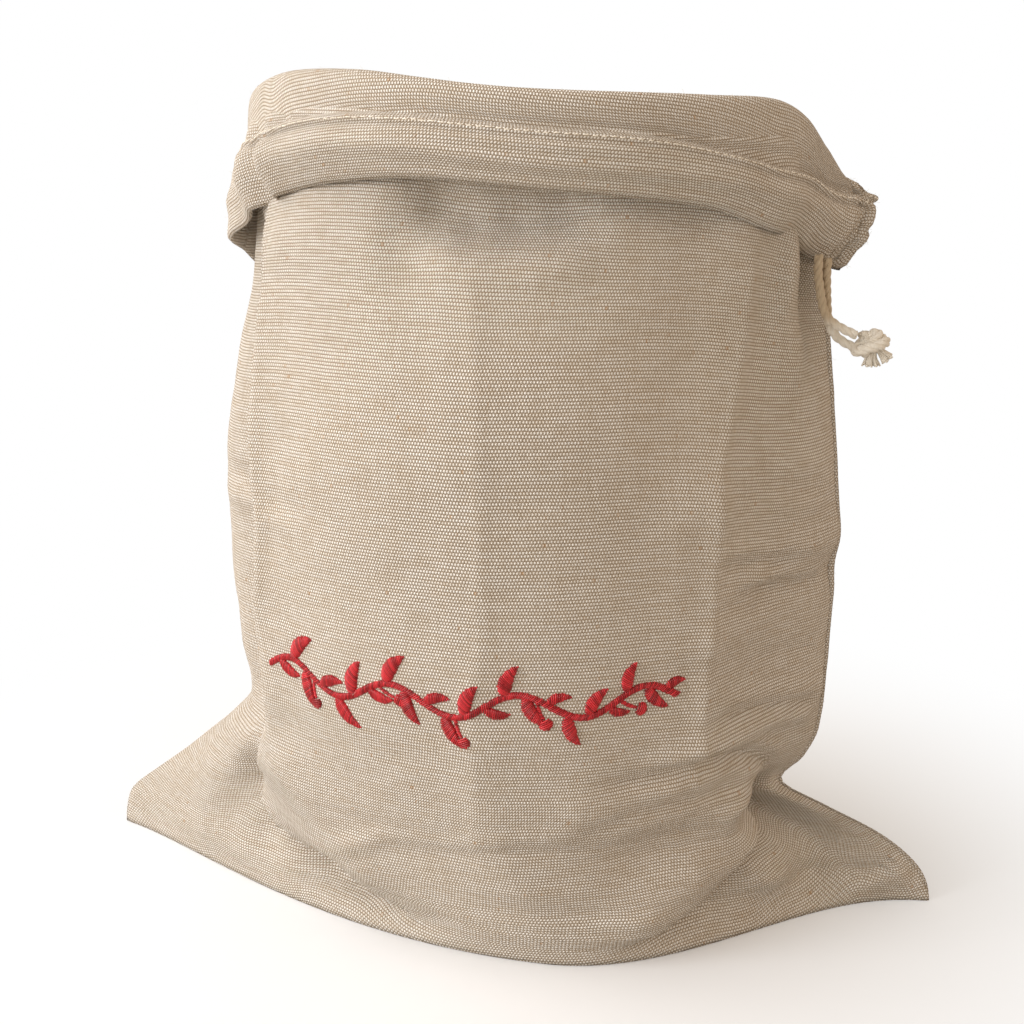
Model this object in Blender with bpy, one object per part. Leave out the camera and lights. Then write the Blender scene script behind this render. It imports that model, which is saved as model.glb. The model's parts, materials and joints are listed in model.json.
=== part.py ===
"""Linen bread bag: a flat drawstring bag that stands open, with its mouth turned outward into a cuff.

The bag is one cloth. It is lofted from horizontal sections, as an outer and an inner skin one cloth
thickness apart, which join around the mouth's edge. Metres, +Z up, X along the two lower corners.
"""
import math

import bmesh
import bpy
from mathutils import Vector

# Driving dimensions
FLAT_WIDTH = 0.300          # the flat bag's width, which the two ears span on the floor
BODY_HEIGHT = 0.258         # from the floor to where the wall starts to turn over
CLOTH = 0.0016              # thickness of one layer
EAR_SEAM = 0.006            # width of the sewn-together seam at an ear's edge
CORD_DIAMETER = 0.0030

COLUMNS = 76                # points around each section, a multiple of 4
EAR_FREE = 0.018            # half depth of the hollow from which an ear can fold
FLOOR_FREE = 0.011          # height from which the cloth can fold
EARS_LEFT = -FLAT_WIDTH / 2
EARS_RIGHT = FLAT_WIDTH / 2

# Sections by height: where the left and right sides and the deepest point of the front lie in X,
# how pointed each side is (1 an ellipse, 2 a parabola, 3 an ear), and how deep the front and back are.
SECTION_COLUMNS = ("height", "left", "right", "centre", "point_left", "point_right", "front", "back")
SECTIONS = (
    (0.0000, EARS_LEFT, EARS_RIGHT, 0.026, 2.65, 4.6, 0.0650, 0.0600),
    (0.0070, -0.1492, 0.1480, 0.025, 2.65, 4.5, 0.0665, 0.0615),
    (0.0150, -0.1460, 0.1425, 0.023, 2.55, 4.1, 0.0682, 0.0635),
    (0.0240, -0.1350, 0.1305, 0.020, 2.3, 3.5, 0.0697, 0.0662),
    (0.0330, -0.1235, 0.1110, 0.016, 2.0, 2.6, 0.0712, 0.0690),
    (0.0405, -0.1145, 0.0960, 0.013, 1.75, 2.0, 0.0724, 0.0712),
    (0.0500, -0.1035, 0.1030, 0.010, 1.4, 1.9, 0.0739, 0.0732),
    (0.0620, -0.0935, 0.1080, 0.008, 1.15, 1.9, 0.0753, 0.0748),
    (0.0850, -0.0915, 0.1100, 0.007, 1.0, 1.9, 0.0770, 0.0768),
    (0.1150, -0.0930, 0.1105, 0.006, 1.0, 1.9, 0.0785, 0.0797),
    (0.1500, -0.0930, 0.1095, 0.006, 1.0, 1.9, 0.0795, 0.0811),
    (0.1800, -0.0880, 0.1070, 0.005, 1.0, 1.8, 0.0785, 0.0795),
    (0.2050, -0.0840, 0.1035, 0.004, 1.0, 1.7, 0.0745, 0.0735),
    (0.2250, -0.0820, 0.1015, 0.003, 1.0, 1.5, 0.0675, 0.0680),
    (0.2420, -0.0785, 0.1005, 0.002, 1.0, 1.4, 0.0665, 0.0670),
    (BODY_HEIGHT, -0.0750, 0.1000, 0.002, 1.0, 1.4, 0.0690, 0.0690),
)

# The cuff by place around the mouth (0 the left seam, 0.25 the front, 0.5 the right seam, 0.75 the back):
# how far its top stands over BODY_HEIGHT, how far its lower edge hangs under its top, and how far it stands
# out more than elsewhere at the row of stitches (swell) and at its lower edge (flare).
CUFF_COLUMNS = ("place", "rise", "drop", "swell", "flare")
CUFF = (
    (0.000, 0.0090, 0.0560, 0.0005, 0.0115),
    (0.045, 0.0105, 0.0530, 0.0005, 0.0085),
    (0.089, 0.0140, 0.0370, 0.0000, 0.0030),
    (0.135, 0.0168, 0.0335, 0.0000, 0.0010),
    (0.189, 0.0165, 0.0300, 0.0000, 0.0005),
    (0.231, 0.0140, 0.0270, 0.0000, 0.0005),
    (0.280, 0.0112, 0.0267, 0.0000, 0.0005),
    (0.364, 0.0097, 0.0307, 0.0000, 0.0005),
    (0.405, 0.0088, 0.0368, 0.0000, 0.0000),
    (0.430, 0.0045, 0.0355, 0.0000, -0.0010),
    (0.455, -0.0035, 0.0325, 0.0005, -0.0030),
    (0.500, -0.0120, 0.0270, 0.0052, 0.0014),
    (0.545, -0.0045, 0.0310, 0.0010, 0.0005),
    (0.600, 0.0060, 0.0310, 0.0000, 0.0005),
    (0.750, 0.0110, 0.0290, 0.0000, 0.0010),
    (0.860, 0.0120, 0.0330, 0.0000, 0.0015),
    (0.950, 0.0095, 0.0510, 0.0003, 0.0085),
)

# The cloth's turn over the mouth, as offset from the wall and height under the top. The hidden side faces
# the wall; the shown side ends at the row of stitches, where the hem's second layer starts.
TURN_HIDDEN = ((0.0006, -0.0080), (0.0012, -0.0042), (0.0034, -0.0024), (0.0054, -0.0040), (0.0064, -0.0100))
TURN_SHOWN = ((0.0078, -0.0092), (0.0074, -0.0050), (0.0060, -0.0014), (0.0032, 0.0), (0.0002, -0.0018),
              (-0.0014, -0.0070))
STITCH_DROP = 0.0092        # how far the stitches lie under the top
HEM_HIDDEN = 0.0068         # offset from the wall of the hem's hidden side
HEM_SHOWN = 0.0098          # and of its shown side, two layers further out
HEM_LEDGE = 0.0010          # how far under the stitches the hem reaches its full thickness
HEM_PUFF = 0.0010           # how far the casing swells between the stitches and its edge
HEM_ROWS = 2                # rows of points between the stitches and the hem's edge
HEM_EDGE_LIFT = 0.0011      # height of the rounding of the hem's edge
HEM_EDGE_TUCK = 0.0003      # and how far its hidden side is rounded

# The drawstring gathers the casing into small pleats around the right seam.
GATHER_PLACE = 0.500
GATHER_REACH = 0.028        # how far around the mouth the pleats fade
GATHER_PITCH = 2 / COLUMNS  # one pleat takes two columns of points
GATHER_DEPTH = 0.0013

# Main folds of the wall: from one (place, height) to another, the half width of the fold and its depth,
# which is negative for a trough.
FOLD_COLUMNS = ("place_1", "height_1", "place_2", "height_2", "spread", "depth")
FOLDS = (
    (0.250, 0.030, 0.248, 0.225, 0.008, 0.0014),     # the crease of the bag folded in half
    (0.109, 0.062, 0.106, 0.200, 0.010, 0.0028),     # the front's left edge
    (0.066, 0.070, 0.070, 0.215, 0.013, -0.0060),    # the trough behind it
    (0.020, 0.085, 0.015, 0.190, 0.014, 0.0035),     # the back's bulge, seen past the trough
    (0.366, 0.060, 0.357, 0.085, 0.011, 0.0022),     # the front's right edge
    (0.357, 0.085, 0.360, 0.150, 0.011, 0.0026),
    (0.360, 0.150, 0.388, 0.222, 0.011, 0.0026),
    (0.412, 0.070, 0.410, 0.165, 0.018, -0.0014),    # the hollow beside it
    (0.458, 0.200, 0.455, 0.226, 0.013, -0.0036),    # the pocket under the cuff's right end
    (0.425, 0.190, 0.428, 0.228, 0.009, 0.0026),     # the ridge beside the pocket
    (0.230, 0.231, 0.292, 0.232, 0.009, -0.0050),    # the dent under the front of the cuff
    (0.395, 0.126, 0.490, 0.131, 0.006, 0.0018),     # cross folds of the right side
    (0.400, 0.118, 0.490, 0.119, 0.006, -0.0018),
    (0.355, 0.106, 0.400, 0.110, 0.006, 0.0014),
    (0.352, 0.072, 0.470, 0.078, 0.007, 0.0022),
    (0.470, 0.045, 0.360, 0.062, 0.007, -0.0024),    # folds that fan out from the pinch over the right ear
    (0.465, 0.040, 0.300, 0.055, 0.008, 0.0018),
    (0.120, 0.041, 0.172, 0.0195, 0.007, -0.0050),   # the crease where the front stands on the left ear
    (0.180, 0.017, 0.212, 0.008, 0.007, -0.0034),
    (0.132, 0.054, 0.186, 0.032, 0.010, 0.0038),     # and the bulge over it
    (0.436, 0.040, 0.386, 0.014, 0.008, -0.0060),    # the crease where the front stands on the right ear
    (0.370, 0.010, 0.330, 0.003, 0.008, -0.0040),
    (0.396, 0.046, 0.360, 0.021, 0.009, 0.0044),     # and the bulge over it
    (0.350, 0.016, 0.296, 0.005, 0.009, 0.0036),
    (0.890, 0.060, 0.885, 0.215, 0.012, 0.0026),     # the back's own edges
    (0.640, 0.060, 0.630, 0.215, 0.012, 0.0028),
    (0.700, 0.120, 0.820, 0.150, 0.016, -0.0022),
)

# Heights of the rows of points on the wall's outer skin, and on its inner skin, which needs fewer.
OUTER_HEIGHTS = (0.0, 0.0045, 0.009, 0.015, 0.022, 0.029, 0.035, 0.0405, 0.046, 0.053, 0.061, 0.070, 0.079,
                 0.089, 0.100, 0.111, 0.121, 0.130, 0.141, 0.153, 0.166, 0.179, 0.191, 0.203, 0.214, 0.224,
                 0.232, 0.240)
INNER_HEIGHTS = (0.240, 0.232, 0.224, 0.214, 0.203, 0.185, 0.166, 0.141, 0.121, 0.100, 0.079, 0.061, 0.046,
                 0.0405, 0.032, 0.022, 0.012, 0.0045)
BASE_STEPS = (0.66, 0.33)   # rows on the flat base, as shares of its half depth

# The two ends of the drawstring, from under the hem to the knot.
STRAND_FRONT = (
    (0.1003, -0.0143, 0.2215), (0.1004, -0.0144, 0.2160), (0.1012, -0.0143, 0.2110),
    (0.1022, -0.0139, 0.2065), (0.1035, -0.0134, 0.2032), (0.1059, -0.0130, 0.2008),
    (0.1090, -0.0127, 0.1990), (0.1130, -0.0125, 0.1972),
)
STRAND_BACK = (
    (0.1031, -0.0108, 0.2202), (0.1030, -0.0108, 0.2155), (0.1033, -0.0106, 0.2100),
    (0.1038, -0.0102, 0.2045), (0.1046, -0.0100, 0.2002), (0.1063, -0.0100, 0.1972),
    (0.1087, -0.0101, 0.1951), (0.1122, -0.0104, 0.1933),
)
CORD_STEP = 2.2             # spacing of the tube's points, in diameters

# The overhand knot that ties both ends together: the route of its turn, and its two cut tails, thick as the
# strands pressed together. They overlap into one solid.
KNOT_TURN = (
    (0.1151, -0.0117, 0.1962), (0.1172, -0.0095, 0.1953), (0.1197, -0.0098, 0.1968),
    (0.1206, -0.0118, 0.1961), (0.1192, -0.0139, 0.1950), (0.1168, -0.0146, 0.1938),
    (0.1147, -0.0135, 0.1924), (0.1147, -0.0107, 0.1925), (0.1166, -0.0088, 0.1941),
    (0.1185, -0.0100, 0.1950), (0.1193, -0.0112, 0.1935),
)
KNOT_TAILS = (((0.1184, -0.0112, 0.1930), (0.1177, -0.0114, 0.1903), (0.1176, -0.0113, 0.1890)),
              ((0.1193, -0.0112, 0.1935), (0.1208, -0.0111, 0.1919), (0.1223, -0.0109, 0.1911)))
KNOT_THICKNESS = 0.0044
TAIL_THICKNESS = 0.0036
KNOT_STEP = 0.0007          # spacing of the balls that fill out the turn and the tails
KNOT_VOXEL = 0.0009

LINEN_COLOUR = (0.72, 0.60, 0.45, 1.0)
COTTON_COLOUR = (0.76, 0.72, 0.62, 1.0)


def clear_scene():
    for item in list(bpy.data.objects):
        bpy.data.objects.remove(item, do_unlink=True)


def make_material(name, colour, roughness):
    material = bpy.data.materials.new(name)
    material.use_nodes = True
    shader = material.node_tree.nodes["Principled BSDF"]
    shader.inputs["Base Color"].default_value = colour
    shader.inputs["Roughness"].default_value = roughness
    shader.inputs["Metallic"].default_value = 0.0
    return material


def smooth(value):
    """Ease from 0 to 1 with level ends."""
    value = min(1.0, max(0.0, value))
    return value * value * (3.0 - 2.0 * value)


def curve_through(p0, p1, p2, p3, x0, x1, x2, x3, x):
    """A smooth curve's value at x, between p1 and p2, with the slopes of its neighbours."""
    slope_1 = (p2 - p0) / (x2 - x0)
    slope_2 = (p3 - p1) / (x3 - x1)
    width = x2 - x1
    s = (x - x1) / width
    rise = s * s * (3.0 - 2.0 * s)
    return (p1 * (1.0 - rise) + p2 * rise + slope_1 * width * s * (1.0 - s) ** 2
            - slope_2 * width * s * s * (1.0 - s))


def section_at(height):
    """The section's sizes at a height, read smoothly from SECTIONS."""
    heights = [row[0] for row in SECTIONS]
    height = min(max(height, heights[0]), heights[-1])
    last = len(SECTIONS) - 1
    i = max(k for k in range(last) if heights[k] <= height)
    rows = [SECTIONS[max(i - 1, 0)], SECTIONS[i], SECTIONS[i + 1], SECTIONS[min(i + 2, last)]]
    places = [row[0] for row in rows]
    if i == 0:
        places[0] = places[1] - (places[2] - places[1])
    if i + 1 == last:
        places[3] = places[2] + (places[2] - places[1])
    values = (curve_through(*(row[column] for row in rows), *places, height)
              for column in range(1, len(SECTION_COLUMNS)))
    return dict(zip(SECTION_COLUMNS[1:], values))


def cuff_at(place):
    """The cuff's sizes at a place around the mouth, read smoothly from CUFF, which runs in a ring."""
    count = len(CUFF)
    i = max(k for k in range(count) if CUFF[k][0] <= place)
    rows = [CUFF[(i + k) % count] for k in (-1, 0, 1, 2)]
    places = [CUFF[(i + k) % count][0] + (i + k) // count for k in (-1, 0, 1, 2)]
    values = (curve_through(*(row[column] for row in rows), *places, place)
              for column in range(1, len(CUFF_COLUMNS)))
    return dict(zip(CUFF_COLUMNS[1:], values))


def section_point(size, place, inset):
    """A point of the section, from the left seam (0) over the front (0.25) and the right seam (0.5)."""
    turn = math.pi * (1.0 - 2.0 * place)
    along = math.cos(turn)
    across = math.sin(turn)
    right = along > 0.0
    reach = size["right"] - size["centre"] if right else size["centre"] - size["left"]
    point = size["point_right"] if right else size["point_left"]
    depth = size["front"] if across > 0.0 else size["back"]
    thin = abs(across) ** point
    if inset:
        seam = inset + (EAR_SEAM - inset) * smooth((point - 1.9) / 0.8)
        x = (reach - seam) * along
        y = (depth - inset) * thin
    else:
        x = reach * along
        y = depth * thin + CLOTH * (1.0 - thin) * abs(across) ** 0.5
    return Vector((size["centre"] + x, -math.copysign(y, across), 0.0))


def wrap(difference):
    """The shorter way around from one place to another."""
    return (difference + 0.5) % 1.0 - 0.5


def fold_depth(place, height, half_depth, point):
    """How far the folds push the wall out, or in if negative. They fade out where the ears lie flat."""
    on_ear = smooth((point - 1.9) / 0.8) * (1.0 - smooth(half_depth / EAR_FREE))
    total = 0.0
    for place_1, height_1, place_2, height_2, spread, depth in FOLDS:
        run = Vector((wrap(place_2 - place_1) * 2 * FLAT_WIDTH, height_2 - height_1))
        here = Vector((wrap(place - place_1) * 2 * FLAT_WIDTH, height - height_1))
        share = min(1.0, max(0.0, here.dot(run) / run.length_squared))
        distance = (here - run * share).length
        total += depth * math.exp(-(distance / spread) ** 2)
    return total * (1.0 - on_ear) * smooth(height / FLOOR_FREE)


def outward(size, place):
    """The level direction that faces out from the section."""
    step = 0.004
    before = section_point(size, (place - step) % 1.0, 0.0)
    after = section_point(size, (place + step) % 1.0, 0.0)
    way = after - before
    return Vector((way.y, -way.x, 0.0)).normalized()


def wall_row(height, inset):
    """One ring of points on the wall. Folds move both skins alike."""
    size = section_at(height)
    rise_share = smooth((height - 0.190) / (BODY_HEIGHT - 0.190))
    row = []
    for column in range(COLUMNS):
        place = column / COLUMNS
        point = section_point(size, place, inset)
        pointed = size["point_left"] if point.x < size["centre"] else size["point_right"]
        point += outward(size, place) * fold_depth(place, height, abs(point.y), pointed)
        point.z = height + cuff_at(place)["rise"] * rise_share
        row.append(point)
    return row


def gather_depth(place):
    """How far the pleats push the casing out or in."""
    away = wrap(place - GATHER_PLACE)
    return GATHER_DEPTH * math.cos(2 * math.pi * away / GATHER_PITCH) * math.exp(-(away / GATHER_REACH) ** 2)


def cuff_row(offset_at, height_at, gathered):
    """One ring of points on the cuff, from an offset out of the wall and a height at each place."""
    size = section_at(BODY_HEIGHT)
    row = []
    for column in range(COLUMNS):
        place = column / COLUMNS
        cuff = cuff_at(place)
        offset = offset_at(cuff) + gather_depth(place) * gathered
        point = section_point(size, place, 0.0) + outward(size, place) * offset
        point.z = BODY_HEIGHT + cuff["rise"] + height_at(cuff)
        row.append(point)
    return row


def turn_rows(profile):
    rows = []
    for offset, drop in profile:
        share = smooth(-drop / STITCH_DROP)
        share *= offset > 0.0
        rows.append(cuff_row(lambda cuff, x=offset, s=share: x + cuff["swell"] * s,
                             lambda cuff, z=drop: z, share))
    return rows


def hem_row(offset, top_drop, share):
    """A row of the hem's face, a share of the way from the stitches to its edge, where it flares out."""
    return cuff_row(lambda cuff: offset + cuff["swell"] * (1.0 - share) + cuff["flare"] * share,
                    lambda cuff: top_drop - (cuff["drop"] + top_drop) * share, 1.0)


def hem_edge_row(offset, lift):
    return cuff_row(lambda cuff: offset + cuff["flare"], lambda cuff: lift - cuff["drop"], 1.0)


def base_rows(height, inset, shares):
    """Rows on the flat base, which draw in to the fold along its middle."""
    outline = wall_row(0.0, inset)
    return [[Vector((point.x, point.y * share, height)) for point in outline] for share in shares]


def bag_rows():
    """All rings of the cloth, from the fold under the base, up outside, around the cuff and down inside."""
    shares = [(k + 1) / (HEM_ROWS + 1) for k in range(HEM_ROWS)]
    ledge_drop = -STITCH_DROP - HEM_LEDGE
    rows = base_rows(0.0, 0.0, reversed(BASE_STEPS))
    rows += [wall_row(height, 0.0) for height in OUTER_HEIGHTS]
    rows += turn_rows(TURN_HIDDEN)
    rows += [hem_row(HEM_HIDDEN, TURN_HIDDEN[-1][1], share) for share in shares]
    rows.append(hem_edge_row(HEM_HIDDEN + HEM_EDGE_TUCK, HEM_EDGE_LIFT))
    rows.append(hem_edge_row((HEM_HIDDEN + HEM_SHOWN) / 2, 0.0))
    rows.append(hem_edge_row(HEM_SHOWN, HEM_EDGE_LIFT))
    rows += [hem_row(HEM_SHOWN + HEM_PUFF, ledge_drop, share) for share in reversed(shares)]
    rows.append(hem_row(HEM_SHOWN, ledge_drop, 0.0))
    rows += turn_rows(TURN_SHOWN)
    rows += [wall_row(height, CLOTH) for height in INNER_HEIGHTS]
    rows += base_rows(CLOTH, CLOTH, (1.0,) + BASE_STEPS)
    return rows


def close_with_fold(mesh, ring, outer):
    """Join the front and back of a base ring along the straight fold between them."""
    half = COLUMNS // 2
    line = [ring[0]]
    for column in range(1, half):
        front = ring[column].co
        back = ring[COLUMNS - column].co
        line.append(mesh.verts.new(((front.x + back.x) / 2, 0.0, front.z)))
    line.append(ring[half])
    for column in range(half):
        behind = ring[(COLUMNS - column) % COLUMNS]
        quads = ([line[column], line[column + 1], ring[column + 1], ring[column]],
                 [line[column], behind, ring[COLUMNS - column - 1], line[column + 1]])
        for quad in quads:
            corners = list(dict.fromkeys(quad))
            mesh.faces.new(corners if outer else list(reversed(corners)))


def make_bag(material):
    mesh = bmesh.new()
    rings = [[mesh.verts.new(point) for point in row] for row in bag_rows()]
    for lower, upper in zip(rings, rings[1:]):
        for column in range(COLUMNS):
            after = (column + 1) % COLUMNS
            mesh.faces.new((lower[column], lower[after], upper[after], upper[column]))
    close_with_fold(mesh, rings[0], True)
    close_with_fold(mesh, rings[-1], False)
    bmesh.ops.recalc_face_normals(mesh, faces=mesh.faces)
    bmesh.ops.triangulate(mesh, faces=mesh.faces)
    return add_object("bag", mesh, material)


def add_object(name, mesh, material):
    data = bpy.data.meshes.new(name)
    mesh.to_mesh(data)
    mesh.free()
    data.materials.append(material)
    data.shade_smooth()
    item = bpy.data.objects.new(name, data)
    bpy.context.scene.collection.objects.link(item)
    return item


def smooth_route(points, step):
    """Points about a step apart on one smooth curve through the route."""
    dense = []
    ends = [points[0] * 2 - points[1]] + list(points) + [points[-1] * 2 - points[-2]]
    for p0, p1, p2, p3 in zip(ends, ends[1:], ends[2:], ends[3:]):
        for k in range(24):
            s = k / 24
            dense.append(0.5 * (2 * p1 + (p2 - p0) * s + (2 * p0 - 5 * p1 + 4 * p2 - p3) * s * s
                                + (3 * p1 - p0 - 3 * p2 + p3) * s ** 3))
    dense.append(points[-1])
    length = sum((b - a).length for a, b in zip(dense, dense[1:]))
    count = max(3, round(length / step))
    spots = [dense[0]]
    walked = 0.0
    for a, b in zip(dense, dense[1:]):
        walked += (b - a).length
        if walked >= length * len(spots) / count - 1e-9 and len(spots) < count:
            spots.append(b)
    spots.append(dense[-1])
    return spots


def make_strand(name, route, material):
    spots = smooth_route([Vector(point) for point in route], CORD_STEP * CORD_DIAMETER)
    data = bpy.data.curves.new(name, "CURVE")
    data.dimensions = "3D"
    data.bevel_depth = CORD_DIAMETER / 2
    data.bevel_resolution = 2
    data.use_fill_caps = True
    line = data.splines.new("POLY")
    line.points.add(len(spots) - 1)
    for spot, place in zip(line.points, spots):
        spot.co = (*place, 1.0)
    data.materials.append(material)
    item = bpy.data.objects.new(name, data)
    bpy.context.scene.collection.objects.link(item)
    return item


def make_knot(material):
    """The knot's turn and tails as close balls, joined into one solid by a remesh."""
    mesh = bmesh.new()
    for route, thickness in ((KNOT_TURN, KNOT_THICKNESS), *((tail, TAIL_THICKNESS) for tail in KNOT_TAILS)):
        for centre in smooth_route([Vector(point) for point in route], KNOT_STEP):
            ball = bmesh.ops.create_icosphere(mesh, subdivisions=2, radius=thickness / 2)
            bmesh.ops.translate(mesh, verts=ball["verts"], vec=centre)
    knot = add_object("drawstring_knot", mesh, material)
    joined = knot.modifiers.new("one solid", "REMESH")
    joined.mode = "VOXEL"
    joined.voxel_size = KNOT_VOXEL
    joined.use_smooth_shade = True
    return knot


def main():
    clear_scene()
    linen = make_material("linen", LINEN_COLOUR, 0.9)
    cotton = make_material("cotton cord", COTTON_COLOUR, 0.85)
    make_bag(linen)
    make_strand("drawstring_strand_front", STRAND_FRONT, cotton)
    make_strand("drawstring_strand_back", STRAND_BACK, cotton)
    make_knot(cotton)


main()
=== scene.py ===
# %% [markdown]
# # A linen bread bag
# A flat bag of coarse undyed linen stands open on its folded base. Its mouth is turned outward into a
# cuff, so that the hem with the drawstring in it shows, and its two lower corners lie on the table as ears.
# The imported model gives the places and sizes. The lesson models the cloth, the cord and the needlework
# over it, each as its own object, in the same metres.

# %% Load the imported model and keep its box
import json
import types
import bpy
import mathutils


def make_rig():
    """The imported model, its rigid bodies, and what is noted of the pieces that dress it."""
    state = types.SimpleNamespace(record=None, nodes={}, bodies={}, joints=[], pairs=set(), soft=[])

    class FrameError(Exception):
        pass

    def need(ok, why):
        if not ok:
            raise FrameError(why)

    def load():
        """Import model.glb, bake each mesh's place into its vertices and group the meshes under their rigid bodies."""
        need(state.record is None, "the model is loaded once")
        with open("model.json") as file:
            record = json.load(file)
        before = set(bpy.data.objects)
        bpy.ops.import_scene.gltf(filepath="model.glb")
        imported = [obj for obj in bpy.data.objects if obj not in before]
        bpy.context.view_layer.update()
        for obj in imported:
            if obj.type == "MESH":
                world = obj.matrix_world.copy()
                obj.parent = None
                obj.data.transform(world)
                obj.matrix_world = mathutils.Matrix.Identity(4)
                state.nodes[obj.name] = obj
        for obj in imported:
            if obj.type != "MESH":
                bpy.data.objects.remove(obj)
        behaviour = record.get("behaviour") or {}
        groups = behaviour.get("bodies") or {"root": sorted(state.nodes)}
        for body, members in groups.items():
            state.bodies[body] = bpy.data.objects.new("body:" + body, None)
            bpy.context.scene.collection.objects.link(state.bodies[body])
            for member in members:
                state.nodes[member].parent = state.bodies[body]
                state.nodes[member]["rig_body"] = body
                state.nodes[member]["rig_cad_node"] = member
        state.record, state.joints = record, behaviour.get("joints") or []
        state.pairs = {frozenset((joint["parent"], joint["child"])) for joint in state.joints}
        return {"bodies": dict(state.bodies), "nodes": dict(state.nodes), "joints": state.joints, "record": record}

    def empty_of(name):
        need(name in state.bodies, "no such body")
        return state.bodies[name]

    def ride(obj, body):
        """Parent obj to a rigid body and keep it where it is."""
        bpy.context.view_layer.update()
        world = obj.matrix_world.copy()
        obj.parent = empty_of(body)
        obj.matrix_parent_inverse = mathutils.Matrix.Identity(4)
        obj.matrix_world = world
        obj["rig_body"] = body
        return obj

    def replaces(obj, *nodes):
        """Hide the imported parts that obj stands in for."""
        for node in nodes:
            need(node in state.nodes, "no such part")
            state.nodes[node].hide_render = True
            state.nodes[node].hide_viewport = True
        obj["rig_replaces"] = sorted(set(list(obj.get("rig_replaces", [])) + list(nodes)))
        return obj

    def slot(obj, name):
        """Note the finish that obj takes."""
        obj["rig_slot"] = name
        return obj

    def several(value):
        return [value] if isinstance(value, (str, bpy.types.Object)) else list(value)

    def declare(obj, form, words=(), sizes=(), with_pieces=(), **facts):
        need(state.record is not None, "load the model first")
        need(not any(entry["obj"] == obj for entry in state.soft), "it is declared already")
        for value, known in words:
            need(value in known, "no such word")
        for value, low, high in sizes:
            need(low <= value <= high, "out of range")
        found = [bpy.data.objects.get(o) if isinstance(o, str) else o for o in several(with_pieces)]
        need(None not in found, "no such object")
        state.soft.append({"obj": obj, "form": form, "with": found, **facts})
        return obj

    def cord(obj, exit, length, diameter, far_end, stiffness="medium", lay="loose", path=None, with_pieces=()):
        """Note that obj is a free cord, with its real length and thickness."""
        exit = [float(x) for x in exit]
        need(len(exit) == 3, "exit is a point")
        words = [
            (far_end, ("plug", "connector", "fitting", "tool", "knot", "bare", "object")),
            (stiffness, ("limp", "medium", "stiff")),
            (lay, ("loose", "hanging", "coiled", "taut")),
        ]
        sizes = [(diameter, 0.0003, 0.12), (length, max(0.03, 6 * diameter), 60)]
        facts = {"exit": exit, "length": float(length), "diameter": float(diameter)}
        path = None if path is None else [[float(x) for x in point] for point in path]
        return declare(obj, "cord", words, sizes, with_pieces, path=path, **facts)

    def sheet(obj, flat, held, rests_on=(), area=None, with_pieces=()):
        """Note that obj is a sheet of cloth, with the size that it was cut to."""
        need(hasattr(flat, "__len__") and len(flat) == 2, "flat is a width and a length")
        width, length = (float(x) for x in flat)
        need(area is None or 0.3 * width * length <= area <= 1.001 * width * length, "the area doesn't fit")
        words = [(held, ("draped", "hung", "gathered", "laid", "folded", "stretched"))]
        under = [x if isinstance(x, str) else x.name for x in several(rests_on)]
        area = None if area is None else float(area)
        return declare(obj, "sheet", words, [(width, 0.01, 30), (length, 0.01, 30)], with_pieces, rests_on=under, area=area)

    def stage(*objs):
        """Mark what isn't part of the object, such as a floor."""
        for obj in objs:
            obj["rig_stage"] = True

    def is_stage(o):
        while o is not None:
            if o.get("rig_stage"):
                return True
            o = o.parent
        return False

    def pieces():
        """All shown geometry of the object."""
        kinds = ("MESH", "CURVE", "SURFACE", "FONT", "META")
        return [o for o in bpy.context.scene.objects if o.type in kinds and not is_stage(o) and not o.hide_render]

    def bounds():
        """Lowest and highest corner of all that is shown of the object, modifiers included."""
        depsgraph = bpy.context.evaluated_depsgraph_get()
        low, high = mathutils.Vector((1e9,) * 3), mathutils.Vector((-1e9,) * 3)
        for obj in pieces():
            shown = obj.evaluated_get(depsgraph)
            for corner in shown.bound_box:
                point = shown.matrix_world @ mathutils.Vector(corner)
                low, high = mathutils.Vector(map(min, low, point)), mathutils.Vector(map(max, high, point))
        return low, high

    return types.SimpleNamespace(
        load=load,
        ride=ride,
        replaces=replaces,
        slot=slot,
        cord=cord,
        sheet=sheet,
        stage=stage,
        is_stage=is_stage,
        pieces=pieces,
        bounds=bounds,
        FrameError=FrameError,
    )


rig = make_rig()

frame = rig.load()

import json
import math

import bpy
import numpy as np
from mathutils import Vector

CAD_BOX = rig.bounds()
print("solids:", sorted(frame["nodes"]), "box:", CAD_BOX)

# %% [markdown]
# ## Two small helpers
# Colours are chosen as sRGB hex values, the way a paint program shows them, but Blender's shaders work in
# linear light. One function converts them. A second one adds a node to a material with its settings and
# links, so that a material reads as a recipe from top to bottom.

# %% Helpers for colours and nodes
def linear(hex_code):
    """An sRGB hex colour such as 'E9DCC6' as linear red, green, blue and alpha."""
    channels = [int(hex_code[k:k + 2], 16) / 255 for k in (0, 2, 4)]
    light = [c / 12.92 if c <= 0.04045 else ((c + 0.055) / 1.055) ** 2.4 for c in channels]
    return (*light, 1.0)


def add_node(tree, kind, inputs=(), **settings):
    """A node with its settings, and each input set to a value or linked to a socket or a node's first output."""
    node = tree.nodes.new(kind)
    for name, value in settings.items():
        setattr(node, name, value)
    for socket, source in dict(inputs).items():
        if isinstance(source, bpy.types.Node):
            source = source.outputs[0]
        if isinstance(source, bpy.types.NodeSocket):
            tree.links.new(source, node.inputs[socket])
        else:
            node.inputs[socket].default_value = source
    return node


def new_material(name):
    """An empty node material: its tree, and the material itself."""
    material = bpy.data.materials.new(name)
    material.use_nodes = True
    material.node_tree.nodes.clear()
    return material.node_tree, material


print("E9DCC6 is", [round(c, 3) for c in linear("E9DCC6")], "in linear light")

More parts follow.
